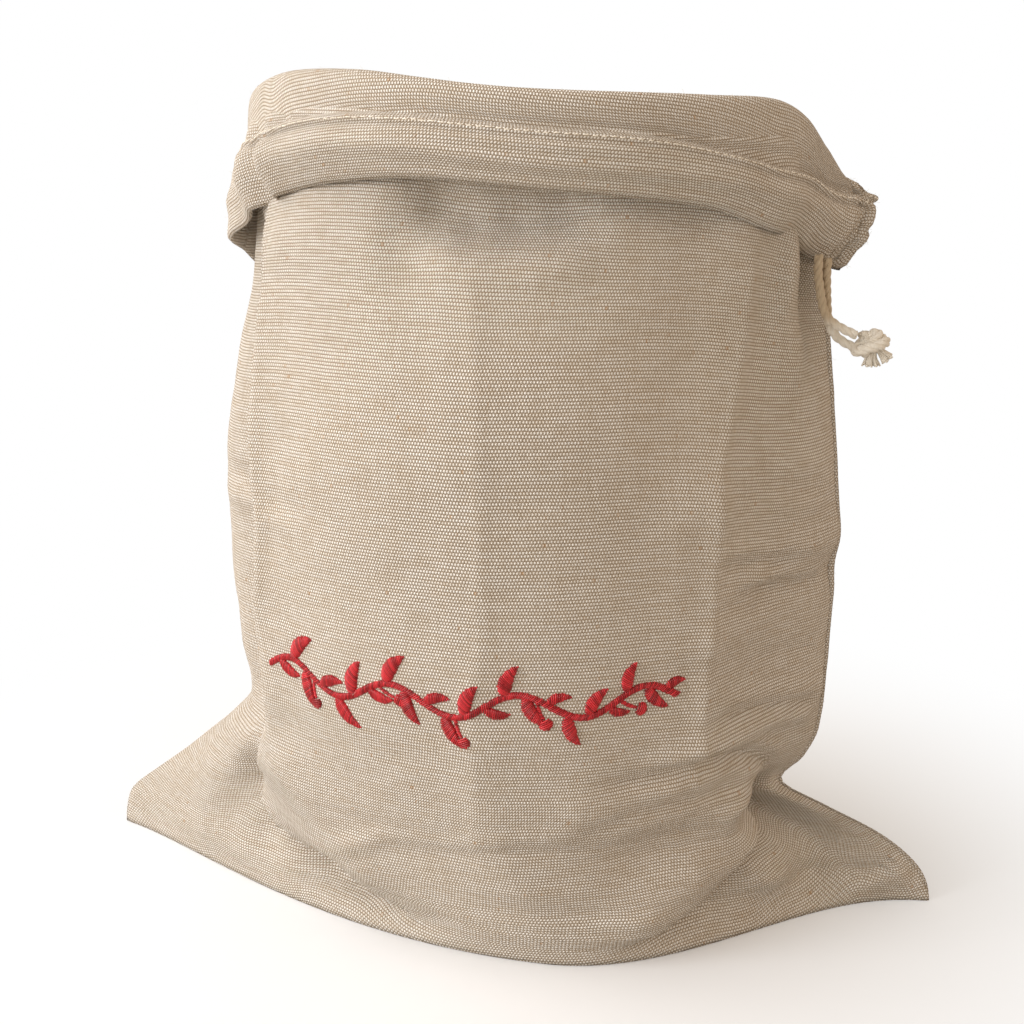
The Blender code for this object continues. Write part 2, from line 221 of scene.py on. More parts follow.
# %% [markdown]
# ## The camera
# The picture was taken from a little above the bag's shoulder and slightly from its right. A 50 mm lens on
# a full-frame sensor stands half a metre away. The place is fitted so that the bag's outline falls on the
# same pixels as in the reference, and so that nothing has to be stretched to match it.

# %% Camera
CAMERA_PLACE = (0.0955, -0.4621, 0.2580)
CAMERA_TURN = math.radians(11.41)       # to the left of straight ahead
CAMERA_TILT = math.radians(15.0)        # down from level
LENS = 50.0
SENSOR = 36.0

camera_data = bpy.data.cameras.new("camera")
camera_data.lens = LENS
camera_data.sensor_width = SENSOR
camera_data.clip_start = 0.01
camera = bpy.data.objects.new("camera", camera_data)
camera.location = CAMERA_PLACE
camera.rotation_euler = (math.pi / 2 - CAMERA_TILT, 0.0, CAMERA_TURN)
bpy.context.scene.collection.objects.link(camera)
bpy.context.scene.camera = camera
print("camera", (Vector(CAMERA_PLACE) - Vector((0.0, 0.0, 0.14))).length, "m from the middle of the bag")

# %% [markdown]
# ## Tubes along a route
# Cord plies, sewing thread and loose fibres are all thin round strands. A curve object with a bevel would
# do for one, but a ply has to wind around its neighbours, so the tubes are made as meshes: rings of points
# are set square to the route, with a frame that is carried along without twisting.

# %% Smooth routes and tube meshes
def smooth_route(points, step):
    """Evenly spaced points on one smooth curve through the route's own points."""
    points = np.asarray(points, float)
    ends = np.vstack([2 * points[0] - points[1], points, 2 * points[-1] - points[-2]])
    dense = []
    for p0, p1, p2, p3 in zip(ends, ends[1:], ends[2:], ends[3:]):
        s = np.linspace(0, 1, 24, endpoint=False)[:, None]
        dense.append(0.5 * (2 * p1 + (p2 - p0) * s + (2 * p0 - 5 * p1 + 4 * p2 - p3) * s ** 2
                            + (3 * p1 - p0 - 3 * p2 + p3) * s ** 3))
    dense = np.vstack(dense + [points[-1:]])
    walked = np.concatenate([[0], np.cumsum(np.linalg.norm(np.diff(dense, axis=0), axis=1))])
    even = np.linspace(0, walked[-1], max(3, round(walked[-1] / step) + 1))
    return np.column_stack([np.interp(even, walked, dense[:, k]) for k in range(3)])


def route_frames(route):
    """Forward, side and up directions at each point, carried along the route without twisting."""
    forward = np.gradient(route, axis=0)
    forward /= np.linalg.norm(forward, axis=1)[:, None]
    start = np.cross(forward[0], (0.0, 0.0, 1.0) if abs(forward[0][2]) < 0.9 else (0.0, 1.0, 0.0))
    sides = [start / np.linalg.norm(start)]
    for way in forward[1:]:
        side = sides[-1] - way * np.dot(sides[-1], way)
        sides.append(side / np.linalg.norm(side))
    sides = np.array(sides)
    return forward, sides, np.cross(forward, sides)


def tube(route, radii, ring, flatten=1.0):
    """Points and faces of a closed tube with ring points around it."""
    forward, side, up = route_frames(route)
    turns = np.arange(ring) * 2 * math.pi / ring
    radii = np.broadcast_to(radii, len(route))[:, None, None]
    around = np.cos(turns)[None, :, None] * side[:, None, :] + flatten * np.sin(turns)[None, :, None] * up[:, None, :]
    points = (route[:, None, :] + radii * around).reshape(-1, 3)
    faces = [(i * ring + k, i * ring + (k + 1) % ring, (i + 1) * ring + (k + 1) % ring, (i + 1) * ring + k)
             for i in range(len(route) - 1) for k in range(ring)]
    faces.append(tuple(reversed(range(ring))))
    faces.append(tuple((len(route) - 1) * ring + k for k in range(ring)))
    return points, faces


def joined(shapes):
    """Several (points, faces) as one."""
    points, faces, start = [], [], 0
    for some_points, some_faces in shapes:
        points.append(some_points)
        faces += [tuple(i + start for i in face) for face in some_faces]
        start += len(some_points)
    return np.vstack(points), faces


def new_piece(name, shape, material, slot):
    """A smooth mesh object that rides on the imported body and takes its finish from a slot."""
    points, faces = shape
    data = bpy.data.meshes.new(name)
    data.from_pydata([tuple(p) for p in points], [], faces)
    data.materials.append(material)
    data.shade_smooth()
    piece = bpy.data.objects.new(name, data)
    bpy.context.scene.collection.objects.link(piece)
    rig.ride(piece, "root")
    if slot:
        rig.slot(piece, slot)
    print(name, len(points), "points", sum(len(f) - 2 for f in faces), "triangles")
    return piece


def wound(route, plies, offset, pitch, phase=0.0):
    """The routes of plies that wind around a route, a turn every pitch."""
    forward, side, up = route_frames(route)
    walked = np.concatenate([[0], np.cumsum(np.linalg.norm(np.diff(route, axis=0), axis=1))])
    for k in range(plies):
        turn = (2 * math.pi * (walked / pitch + k / plies) + phase)[:, None]
        yield route + offset * (np.cos(turn) * side + np.sin(turn) * up)


# %% [markdown]
# ## Cotton cord
# The drawstring is a loosely twisted cotton cord: three plies of soft spun yarn. Cotton scatters light
# inside its fibres, so it looks a little brighter and bluer than the linen and has no gloss at all. Its
# fibres run along each ply; stretched noise draws them, and a faint sheen lightens the edges. Where the
# strands hang in the shade under the cuff, that shade is painted on them as a darker tan.

# %% Material: twisted cotton cord
FIBRE_LENGTH = 0.0022       # how far one visible fibre runs, in metres
FIBRE_WIDTH = 0.00016

tree, sewing_thread = new_material("cotton sewing thread")
add_node(tree, "ShaderNodeOutputMaterial", {"Surface": add_node(tree, "ShaderNodeBsdfPrincipled",
         {"Base Color": linear("F1E9DB"), "Roughness": 0.75, "IOR": 1.53, "Sheen Weight": 0.2})})
tree, cotton_cord = new_material("twisted cotton cord")
position = add_node(tree, "ShaderNodeTexCoord").outputs["Object"]
fibres = add_node(tree, "ShaderNodeTexNoise", {"Vector": add_node(tree, "ShaderNodeVectorMath",
                  {0: position, 1: (1 / FIBRE_WIDTH, 1 / FIBRE_WIDTH, 1 / FIBRE_LENGTH)}, operation="MULTIPLY"),
                  "Scale": 0.5, "Detail": 2.0})
mottle = add_node(tree, "ShaderNodeTexNoise", {"Vector": position, "Scale": 420.0, "Detail": 2.0})
# The cord's own mottled cream, and a darker tan that is painted shade on the strands where they run up under the cuff,
# faded in between 198 and 204 mm high.
cord_own_cream = add_node(tree, "ShaderNodeMix", {0: mottle, 6: linear("D6CDBC"), 7: linear("F6F3EC")}, data_type="RGBA")
cord_painted_shade = add_node(tree, "ShaderNodeMix", {0: mottle, 6: linear("A8957A"), 7: linear("CBBBA2")}, data_type="RGBA")
painted_shade_share = add_node(tree, "ShaderNodeMapRange", {0: add_node(tree, "ShaderNodeSeparateXYZ", {0: position}).outputs[2],
                  1: 0.1980, 2: 0.2040}, interpolation_type="SMOOTHSTEP")
tone = add_node(tree, "ShaderNodeMix", {0: painted_shade_share, 6: cord_own_cream.outputs[2], 7: cord_painted_shade.outputs[2]}, data_type="RGBA")
relief = add_node(tree, "ShaderNodeBump", {"Height": fibres, "Distance": 0.0002, "Strength": 0.6})
shader = add_node(tree, "ShaderNodeBsdfPrincipled", {"Base Color": tone.outputs[2], "Roughness": 0.9,
                  "IOR": 1.53, "Sheen Weight": 0.3, "Sheen Roughness": 0.5, "Normal": relief})
add_node(tree, "ShaderNodeOutputMaterial", {"Surface": shader})
print("cotton: fibres", FIBRE_WIDTH * 1000, "mm wide")

# %% [markdown]
# ## The two ends of the drawstring
# Both ends leave the hem side by side, hang down over the bag's side and are knotted together. Each strand
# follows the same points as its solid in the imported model, and is declared with its real length.

# %% Drawstring strands
CORD_DIAMETER = 0.0030
CORD_PITCH = 0.0085         # one turn of the twist
PLY_RADIUS = 0.00084
PLY_OFFSET = 0.00064
STRAND_FRONT = (
    (0.1003, -0.0143, 0.2215), (0.1004, -0.0144, 0.2160), (0.1012, -0.0143, 0.2110),
    (0.1022, -0.0139, 0.2065), (0.1035, -0.0134, 0.2032), (0.1059, -0.0130, 0.2008),
    (0.1090, -0.0127, 0.1990), (0.1130, -0.0125, 0.1972),
)
STRAND_BACK = (
    (0.1031, -0.0108, 0.2202), (0.1030, -0.0108, 0.2155), (0.1033, -0.0106, 0.2100),
    (0.1038, -0.0102, 0.2045), (0.1046, -0.0100, 0.2002), (0.1063, -0.0100, 0.1972),
    (0.1087, -0.0101, 0.1951), (0.1122, -0.0104, 0.1933),
)


def rope(route, phase=0.0, swell=1.0):
    """Three plies wound around a route, as one shape."""
    return joined(tube(ply, PLY_RADIUS * swell, 8)
                  for ply in wound(route, 3, PLY_OFFSET * swell, CORD_PITCH, phase))


strands = []
for name, points, phase in (("drawstring_front", STRAND_FRONT, 0.0), ("drawstring_back", STRAND_BACK, 1.1)):
    route = smooth_route(points, 0.0004)
    strand = new_piece(name + "_strand_twisted", rope(route, phase), cotton_cord, "cord")
    length = float(np.linalg.norm(np.diff(route, axis=0), axis=1).sum())
    print(name, "is", round(length * 1000, 1), "mm long")
    strands.append((strand, route, length))

# %% [markdown]
# ## The knot and its cut tails
# One overhand knot holds both ends. Two ropes are swept side by side along the knot's turn, a little
# squeezed where they press on each other. Behind the knot the cord was cut and has sprung open: each tail
# ends in a brush of yarn, made of many thin strands that spread from the place where the twist ends.

# %% Overhand knot with frayed tails
KNOT_TURN = (
    (0.1151, -0.0117, 0.1962), (0.1172, -0.0095, 0.1953), (0.1197, -0.0098, 0.1968),
    (0.1206, -0.0118, 0.1961), (0.1192, -0.0139, 0.1950), (0.1168, -0.0146, 0.1938),
    (0.1147, -0.0135, 0.1924), (0.1147, -0.0107, 0.1925), (0.1166, -0.0088, 0.1941),
    (0.1185, -0.0100, 0.1950), (0.1193, -0.0112, 0.1935),
)
KNOT_TAILS = (((0.1184, -0.0112, 0.1930), (0.1179, -0.0114, 0.1900), (0.1180, -0.0113, 0.1876)),
              ((0.1193, -0.0112, 0.1935), (0.1212, -0.0111, 0.1916), (0.1230, -0.0109, 0.1897)))
PAIR_OFFSET = 0.00140       # from the turn's middle to each of the two ropes in it
BRUSH_STRANDS = 80
BRUSH_SPREAD = 0.0030       # half width of the brush at its cut end

random = np.random.default_rng(11)
knot_shapes = []
turn_route = smooth_route(KNOT_TURN, 0.0004)
for k, half_route in enumerate(wound(turn_route, 2, PAIR_OFFSET, 0.030, 0.6)):
    knot_shapes.append(rope(half_route, k * 0.9, 1.16))
for tail in KNOT_TAILS:
    route = smooth_route(tail, 0.0004)
    forward, side, up = route_frames(route)
    share = np.linspace(0.0, 1.0, len(route))[:, None]
    for k in range(BRUSH_STRANDS):
        angle = 2 * math.pi * random.random()
        reach = math.sqrt(random.random())
        spread = (0.0009 + (BRUSH_SPREAD - 0.0009) * share ** 1.4) * reach
        strand = route + spread * (math.cos(angle) * side + 0.7 * math.sin(angle) * up)
        strand = strand[: len(route) - random.integers(0, 3)]
        knot_shapes.append(tube(strand, 0.00030, 5))
knot = new_piece("drawstring_overhand_knot", joined(knot_shapes), cotton_cord, "cord")
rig.replaces(knot, "drawstring_knot")
for (strand, route, length), exit_point, node in zip(
        strands, (STRAND_FRONT[0], STRAND_BACK[0]), ("drawstring_strand_front", "drawstring_strand_back")):
    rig.replaces(strand, node)
    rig.cord(strand, exit=exit_point, length=length, diameter=CORD_DIAMETER, far_end="knot", stiffness="limp",
            lay="hanging", path=[tuple(p) for p in route[::4]] + [tuple(route[-1])], with_pieces=[knot])

# %% [markdown]
# ## The bag's form in tables
# The bag could be draped by a cloth simulation, but a simulation finds its own folds, and this bag should
# stand with the folds that the reference shows. So it is lofted: level sections are described by a few
# sizes, the cuff by four sizes around the mouth, and each main fold by a line on the cloth with its width
# and depth. The same tables describe the solid, so that the cloth lies on it; the finer creases below are
# added here.

# %% Sections, cuff and folds
FLAT_WIDTH = 0.300          # width of the bag when it lies flat
BODY_HEIGHT = 0.258
CLOTH = 0.0016              # thickness of one layer, with the hairiness of the yarn
EAR_SEAM = 0.006
EAR_FREE = 0.018
FLOOR_FREE = 0.011
# height, left, right, centre, point_left, point_right, front, back
SECTIONS = np.array((
    (0.0000, -0.1500, 0.1500, 0.026, 2.65, 4.6, 0.0650, 0.0600),
    (0.0070, -0.1492, 0.1480, 0.025, 2.65, 4.5, 0.0665, 0.0615),
    (0.0150, -0.1460, 0.1425, 0.023, 2.55, 4.1, 0.0682, 0.0635),
    (0.0240, -0.1350, 0.1305, 0.020, 2.3, 3.5, 0.0697, 0.0662),
    (0.0330, -0.1235, 0.1110, 0.016, 2.0, 2.6, 0.0712, 0.0690),
    (0.0405, -0.1145, 0.0960, 0.013, 1.75, 2.0, 0.0724, 0.0712),
    (0.0500, -0.1035, 0.1030, 0.010, 1.4, 1.9, 0.0739, 0.0732),
    (0.0620, -0.0935, 0.1080, 0.008, 1.15, 1.9, 0.0753, 0.0748),
    (0.0850, -0.0915, 0.1100, 0.007, 1.0, 1.9, 0.0770, 0.0768),
    (0.1150, -0.0930, 0.1105, 0.006, 1.0, 1.9, 0.0785, 0.0797),
    (0.1500, -0.0930, 0.1095, 0.006, 1.0, 1.9, 0.0795, 0.0811),
    (0.1800, -0.0880, 0.1070, 0.005, 1.0, 1.8, 0.0785, 0.0795),
    (0.2050, -0.0840, 0.1035, 0.004, 1.0, 1.7, 0.0745, 0.0735),
    (0.2250, -0.0820, 0.1015, 0.003, 1.0, 1.5, 0.0675, 0.0680),
    (0.2420, -0.0785, 0.1005, 0.002, 1.0, 1.4, 0.0665, 0.0670),
    (BODY_HEIGHT, -0.0750, 0.1000, 0.002, 1.0, 1.4, 0.0690, 0.0690),
))
# place around the mouth, rise, drop, swell, flare
CUFF = np.array((
    (0.000, 0.0090, 0.0475, 0.0005, 0.0100),
    (0.045, 0.0105, 0.0430, 0.0005, 0.0075),
    (0.089, 0.0140, 0.0370, 0.0000, 0.0030),
    (0.135, 0.0168, 0.0335, 0.0000, 0.0010),
    (0.189, 0.0165, 0.0300, 0.0000, 0.0005),
    (0.231, 0.0140, 0.0270, 0.0000, 0.0005),
    (0.280, 0.0112, 0.0267, 0.0000, 0.0005),
    (0.364, 0.0097, 0.0307, 0.0000, 0.0005),
    (0.405, 0.0088, 0.0368, 0.0000, 0.0000),
    (0.430, 0.0045, 0.0355, 0.0000, -0.0010),
    (0.455, -0.0035, 0.0325, 0.0005, -0.0030),
    (0.500, -0.0120, 0.0292, 0.0052, 0.0014),
    (0.545, -0.0045, 0.0310, 0.0010, 0.0005),
    (0.600, 0.0060, 0.0310, 0.0000, 0.0005),
    (0.750, 0.0110, 0.0290, 0.0000, 0.0010),
    (0.860, 0.0120, 0.0330, 0.0000, 0.0015),
    (0.960, 0.0092, 0.0560, 0.0003, 0.0100),
))
TURN_HIDDEN = ((0.0006, -0.0080), (0.0012, -0.0042), (0.0034, -0.0024), (0.0054, -0.0040), (0.0064, -0.0100))
TURN_SHOWN = ((0.0064, -0.0094), (0.0066, -0.0058), (0.0058, -0.0016), (0.0032, 0.0), (0.0002, -0.0018),
              (-0.0014, -0.0070))
STITCH_DROP = 0.0092
HEM_HIDDEN = 0.0068
HEM_SHOWN = 0.0089
HEM_LEDGE = 0.0010
HEM_PUFF = 0.0010
HEM_EDGE_LIFT = 0.0011
GATHER_PLACE = 0.500
GATHER_REACH = 0.028
GATHER_PITCH = 2 / 76
GATHER_DEPTH = 0.0013
# place_1, height_1, place_2, height_2, spread, depth
MAIN_FOLDS = (
    (0.250, 0.030, 0.248, 0.225, 0.008, 0.0014),     # the crease of the bag folded in half
    (0.109, 0.062, 0.106, 0.200, 0.010, 0.0028),     # the front's left edge
    (0.066, 0.070, 0.070, 0.215, 0.013, -0.0060),    # the trough behind it
    (0.020, 0.085, 0.015, 0.190, 0.014, 0.0035),     # the back's bulge, seen past the trough
    (0.366, 0.060, 0.357, 0.085, 0.011, 0.0022),     # the front's right edge
    (0.357, 0.085, 0.360, 0.150, 0.011, 0.0026),
    (0.360, 0.150, 0.388, 0.222, 0.011, 0.0026),
    (0.412, 0.070, 0.410, 0.165, 0.018, -0.0014),    # the hollow beside it
    (0.458, 0.200, 0.455, 0.226, 0.013, -0.0036),    # the pocket under the cuff's right end
    (0.425, 0.190, 0.428, 0.228, 0.009, 0.0026),     # the ridge beside the pocket
    (0.230, 0.231, 0.292, 0.232, 0.009, -0.0050),    # the dent under the front of the cuff
    (0.395, 0.126, 0.490, 0.131, 0.006, 0.0018),     # cross folds of the right side
    (0.400, 0.118, 0.490, 0.119, 0.006, -0.0018),
    (0.355, 0.106, 0.400, 0.110, 0.006, 0.0014),
    (0.352, 0.072, 0.470, 0.078, 0.007, 0.0022),
    (0.470, 0.045, 0.360, 0.062, 0.007, -0.0024),    # folds that fan out from the pinch over the right ear
    (0.465, 0.040, 0.300, 0.055, 0.008, 0.0018),
    (0.120, 0.041, 0.172, 0.0195, 0.007, -0.0050),   # the crease where the front stands on the left ear
    (0.180, 0.017, 0.212, 0.008, 0.007, -0.0034),
    (0.132, 0.054, 0.186, 0.032, 0.010, 0.0038),     # and the bulge over it
    (0.436, 0.040, 0.386, 0.014, 0.008, -0.0060),    # the crease where the front stands on the right ear
    (0.370, 0.010, 0.330, 0.003, 0.008, -0.0040),
    (0.396, 0.046, 0.360, 0.021, 0.009, 0.0044),     # and the bulge over it
    (0.350, 0.016, 0.296, 0.005, 0.009, 0.0036),
    (0.890, 0.060, 0.885, 0.215, 0.012, 0.0026),     # the back's own edges
    (0.640, 0.060, 0.630, 0.215, 0.012, 0.0028),
    (0.700, 0.120, 0.820, 0.150, 0.016, -0.0022),
)
# The finer creases, which only the cloth itself shows: spread, depth, and points as place and height
CREASES = (
    # the front's left edge, and the recess close behind it
    (0.0034, 0.0012, ((0.106, 0.098), (0.1195, 0.1395), (0.1090, 0.1695), (0.104, 0.226))),
    (0.0060, -0.0012, ((0.094, 0.070), (0.103, 0.1395), (0.094, 0.1700), (0.088, 0.226))),
    # the step in the recess, and the pinch that runs from it into the front
    (0.0040, 0.0020, ((0.030, 0.1385), (0.060, 0.139), (0.098, 0.1445))),
    (0.0036, -0.0024, ((0.030, 0.1465), (0.060, 0.1465), (0.098, 0.1530))),
    (0.0036, -0.0012, ((0.119, 0.1475), (0.1335, 0.1470), (0.148, 0.1460), (0.162, 0.1440))),
    (0.0034, 0.0010, ((0.120, 0.1405), (0.136, 0.1410), (0.152, 0.1395))),
    # where the front stands on the left ear, with the bulge over the crease and the shadow behind
    (0.0030, -0.0008, ((0.112, 0.0400), (0.127, 0.0310), (0.141, 0.0250), (0.159, 0.0210), (0.180, 0.0160),
                       (0.2005, 0.0100))),
    (0.0055, 0.0026, ((0.112, 0.0500), (0.132, 0.0375), (0.150, 0.0310), (0.180, 0.0240), (0.206, 0.0170))),
    (0.0050, -0.0040, ((0.070, 0.0600), (0.084, 0.0560), (0.100, 0.0420), (0.118, 0.0300))),
    # facets of the left ear
    (0.0030, 0.0014, ((0.146, 0.0195), (0.158, 0.0165), (0.176, 0.0115))),
    (0.0034, -0.0014, ((0.132, 0.0250), (0.143, 0.0170), (0.152, 0.0080))),
    (0.0050, 0.0012, ((0.030, 0.0470), (0.060, 0.0400), (0.110, 0.0200))),
    # the pressed crease low on the front
    (0.0022, 0.0008, ((0.176, 0.0300), (0.2025, 0.0420), (0.2305, 0.0435), (0.261, 0.0475), (0.300, 0.0470))),
    (0.0026, -0.0008, ((0.180, 0.0250), (0.205, 0.0365), (0.2305, 0.0385), (0.261, 0.0425), (0.296, 0.0420))),
    # the soft crease that comes out of the dent, and the pressed line that goes on down the middle
    (0.0044, -0.0016, ((0.232, 0.2350), (0.243, 0.2315), (0.250, 0.2285), (0.2515, 0.2180))),
    (0.0016, 0.00040, ((0.2515, 0.2195), (0.2540, 0.2035), (0.2546, 0.1800), (0.2540, 0.1115), (0.2490, 0.0955),
                       (0.2475, 0.0615), (0.2380, 0.0310))),
    (0.0040, -0.00050, ((0.2450, 0.2195), (0.2470, 0.2035), (0.2480, 0.1800), (0.2470, 0.1115), (0.2420, 0.0955))),
    # the dent and the rows crowded together over it
    (0.0040, -0.0022, ((0.2600, 0.2285), (0.2721, 0.2270), (0.2840, 0.2290))),
    (0.0045, -0.0046, ((0.2200, 0.2300), (0.2500, 0.2270), (0.2800, 0.2275), (0.3150, 0.2300))),
    (0.0050, 0.0026, ((0.2200, 0.2200), (0.2500, 0.2165), (0.2800, 0.2170), (0.3100, 0.2205))),
    (0.0034, -0.0022, ((0.2500, 0.2325), (0.2747, 0.2320), (0.3197, 0.2325), (0.3520, 0.2290), (0.380, 0.228))),
    (0.0100, 0.0030, ((0.1087, 0.2190), (0.1654, 0.2210), (0.2122, 0.2230))),
    # the pressed edge between the front and the right side
    (0.0019, 0.0009, ((0.3945, 0.2230), (0.3893, 0.2195), (0.3835, 0.2025), (0.3770, 0.1870), (0.3685, 0.1700),
                      (0.3613, 0.1585), (0.3620, 0.1315), (0.3613, 0.1170), (0.3587, 0.1050), (0.3548, 0.0840),
                      (0.3568, 0.0645), (0.3610, 0.0500))),
    (0.0040, -0.0009, ((0.4010, 0.2195), (0.3960, 0.2025), (0.3880, 0.1870), (0.3790, 0.1700), (0.3720, 0.1585),
                       (0.3730, 0.1420))),
    (0.0036, -0.0008, ((0.3520, 0.1560), (0.3520, 0.1315), (0.3500, 0.1050), (0.3460, 0.0840), (0.3480, 0.0690))),
    (0.0018, 0.0007, ((0.3590, 0.0455), (0.3440, 0.0350), (0.3320, 0.0280), (0.3171, 0.0190))),
    # creases across the right side
    (0.0022, 0.0019, ((0.3613, 0.1350), (0.3770, 0.1340), (0.3958, 0.1325), (0.4219, 0.1305), (0.4500, 0.1285))),
    (0.0020, -0.0017, ((0.3639, 0.1310), (0.3809, 0.1300), (0.4017, 0.1283), (0.4280, 0.1268))),
    (0.0022, 0.0016, ((0.3743, 0.1245), (0.3958, 0.1230), (0.4225, 0.1210), (0.4600, 0.1195))),
    (0.0022, -0.0016, ((0.3776, 0.1205), (0.4056, 0.1187), (0.4336, 0.1170), (0.4600, 0.1160))),
    (0.0018, -0.0014, ((0.3575, 0.1176), (0.3750, 0.1163), (0.3958, 0.1148), (0.4186, 0.1135))),
    (0.0028, -0.0012, ((0.3997, 0.1525), (0.4264, 0.1495), (0.4616, 0.1465))),
    (0.0030, 0.0010, ((0.3960, 0.1465), (0.4264, 0.1440), (0.4600, 0.1415))),
    (0.0022, -0.0022, ((0.3555, 0.0800), (0.3717, 0.0803), (0.4004, 0.0783), (0.4323, 0.0758), (0.4609, 0.0740))),
    (0.0030, 0.0020, ((0.3717, 0.0758), (0.4056, 0.0733), (0.4600, 0.0680))),
    (0.0030, 0.0012, ((0.3700, 0.0855), (0.4040, 0.0835), (0.4500, 0.0800))),
    (0.0026, -0.0010, ((0.3900, 0.0965), (0.4200, 0.0950), (0.4560, 0.0930))),
    # creases that fan out from the pinch over the right ear
    (0.0026, -0.0024, ((0.4401, 0.0490), (0.4160, 0.0570), (0.3913, 0.0640), (0.3711, 0.0668), (0.3574, 0.0660),
                       (0.3444, 0.0655), (0.3262, 0.0645), (0.3060, 0.0650))),
    (0.0030, 0.0017, ((0.4300, 0.0570), (0.3900, 0.0695), (0.3574, 0.0713), (0.3300, 0.0700))),
    (0.0028, -0.0019, ((0.4447, 0.0465), (0.4100, 0.0500), (0.3828, 0.0525), (0.3581, 0.0535), (0.3268, 0.0532),
                       (0.2969, 0.0475))),
    (0.0032, 0.0017, ((0.4250, 0.0535), (0.3800, 0.0590), (0.3574, 0.0600), (0.3300, 0.0590))),
    # where the front stands on the right ear
    (0.0030, -0.0010, ((0.4420, 0.0450), (0.4300, 0.0400), (0.4060, 0.0350), (0.3887, 0.0318), (0.3620, 0.0275),
                       (0.3431, 0.0232), (0.3229, 0.0170), (0.3080, 0.0140), (0.2930, 0.0090))),
    (0.0060, 0.0046, ((0.4000, 0.0455), (0.3800, 0.0405), (0.3520, 0.0340), (0.3270, 0.0260),
                      (0.3000, 0.0185), (0.2800, 0.0140))),
    # the standing fold and the pocket under the cuff's right end
    (0.0030, 0.0026, ((0.4251, 0.2270), (0.4193, 0.2165), (0.4160, 0.2105), (0.4108, 0.2000))),
    (0.0060, -0.0034, ((0.4570, 0.2270), (0.4560, 0.2180), (0.4480, 0.2110), (0.4330, 0.2020))),
    # short creases near the left edge
    (0.0040, -0.0007, ((0.1250, 0.1700), (0.1400, 0.1690), (0.1580, 0.1700))),
    (0.0036, 0.0007, ((0.1180, 0.1030), (0.1320, 0.1020), (0.1450, 0.1040))),
    # the body stands out to the left under the cuff
    (0.0160, 0.0034, ((0.0850, 0.2100), (0.0950, 0.2330))),
)
# Edges where the cloth laps over what lies behind it. It drops to its full depth over the first distance, on
# the left of the line's own direction, and comes back over the second: distances, depth, points
LAPS = (
    (0.0022, 0.0190, 0.0100, ((0.1040, 0.2300), (0.1090, 0.1695), (0.1175, 0.1395), (0.1080, 0.0980),
                              (0.1080, 0.0600))),                   # the front's left edge, over the recess
    (0.0026, 0.0120, 0.0092, ((0.2720, 0.0060), (0.3000, 0.0110), (0.3229, 0.0180), (0.3431, 0.0242), (0.3620, 0.0285),
                              (0.3887, 0.0328), (0.4060, 0.0360), (0.4280, 0.0420), (0.4460, 0.0500))),   # and over the right ear
    (0.0026, 0.0110, 0.0082, ((0.1000, 0.0560), (0.1080, 0.0460), (0.1270, 0.0320), (0.1410, 0.0260), (0.1590, 0.0218),
                              (0.1800, 0.0168), (0.2005, 0.0108), (0.2240, 0.0060))),     # and over the left ear
    (0.0022, 0.0120, -0.0040, ((0.3800, 0.0050), (0.4023, 0.0085), (0.4225, 0.0122), (0.4480, 0.0152),
                               (0.4720, 0.0178))),                  # the turned tip of the right ear
)
SEAM_PLACE = 0.500          # the right side seam, which also runs along the ear's upper edge
SEAM_RIM = (0.0010, 0.0010)     # spread and height of the turned allowance along the seam
SEAM_GROOVE = (0.0028, 0.0010, -0.0011)     # distance from the seam, spread and depth of its stitched line
# how much lower than at the middle of the front the hem's stitched edge lies: place, drop
LEDGE_LOWERED = np.array(((0.000, 0.0060), (0.060, 0.0062), (0.109, 0.0058), (0.141, 0.0044), (0.167, 0.0028),
                          (0.200, 0.0013), (0.235, 0.0000), (0.300, 0.0006), (0.335, 0.0020), (0.364, 0.0048),
                          (0.385, 0.0074), (0.405, 0.0092), (0.437, 0.0068), (0.455, 0.0040), (0.485, -0.0012),
                          (0.500, -0.0026), (0.520, -0.0010), (0.560, 0.0030), (0.700, 0.0020), (0.900, 0.0040)))
# vertical kinks of the band where it turns the left corner: place, spread, depth
BAND_KINKS = ((0.1130, 0.0050, 0.0014), (0.1010, 0.0055, -0.0034), (0.0850, 0.0055, 0.0018),
              (0.0640, 0.0070, -0.0018), (0.1370, 0.0080, -0.0009), (0.2150, 0.0120, 0.0006),
              (0.3500, 0.0110, -0.0007), (0.4100, 0.0070, 0.0010), (0.4300, 0.0060, -0.0014))
print(len(SECTIONS), "sections,", len(MAIN_FOLDS), "main folds and", len(CREASES), "finer creases")

# %% [markdown]
# ## From tables to rows of cloth
# Every row of the loft is one weft thread's path as seen from above. NumPy works out a row's points all at
# once: the section's outline, pushed out or in by the folds that cross it.

# %% Rows of the wall and of the cuff
SAMPLES = 2048              # points on a row while it is worked out
place = np.arange(SAMPLES) / SAMPLES


def ease(value):
    value = np.clip(value, 0.0, 1.0)
    return value * value * (3.0 - 2.0 * value)


def read_smoothly(xs, ys, at):
    """Values on a smooth curve through a table's points, level sloped at its ends."""
    before = np.concatenate([[2 * xs[0] - xs[1]], xs, [2 * xs[-1] - xs[-2]]])
    padded = np.concatenate([ys[:1], ys, ys[-1:]])
    slopes = (padded[2:] - padded[:-2]) / (before[2:] - before[:-2])
    i = np.clip(np.searchsorted(xs, at, side="right") - 1, 0, len(xs) - 2)
    width = xs[i + 1] - xs[i]
    s = (at - xs[i]) / width
    rise = s * s * (3 - 2 * s)
    return (ys[i] * (1 - rise) + ys[i + 1] * rise + slopes[i] * width * s * (1 - s) ** 2
            - slopes[i + 1] * width * s * s * (1 - s))


def section_at(height):
    height = min(max(height, 0.0), BODY_HEIGHT)
    return [float(read_smoothly(SECTIONS[:, 0], SECTIONS[:, k], np.array(height))) for k in range(1, 8)]


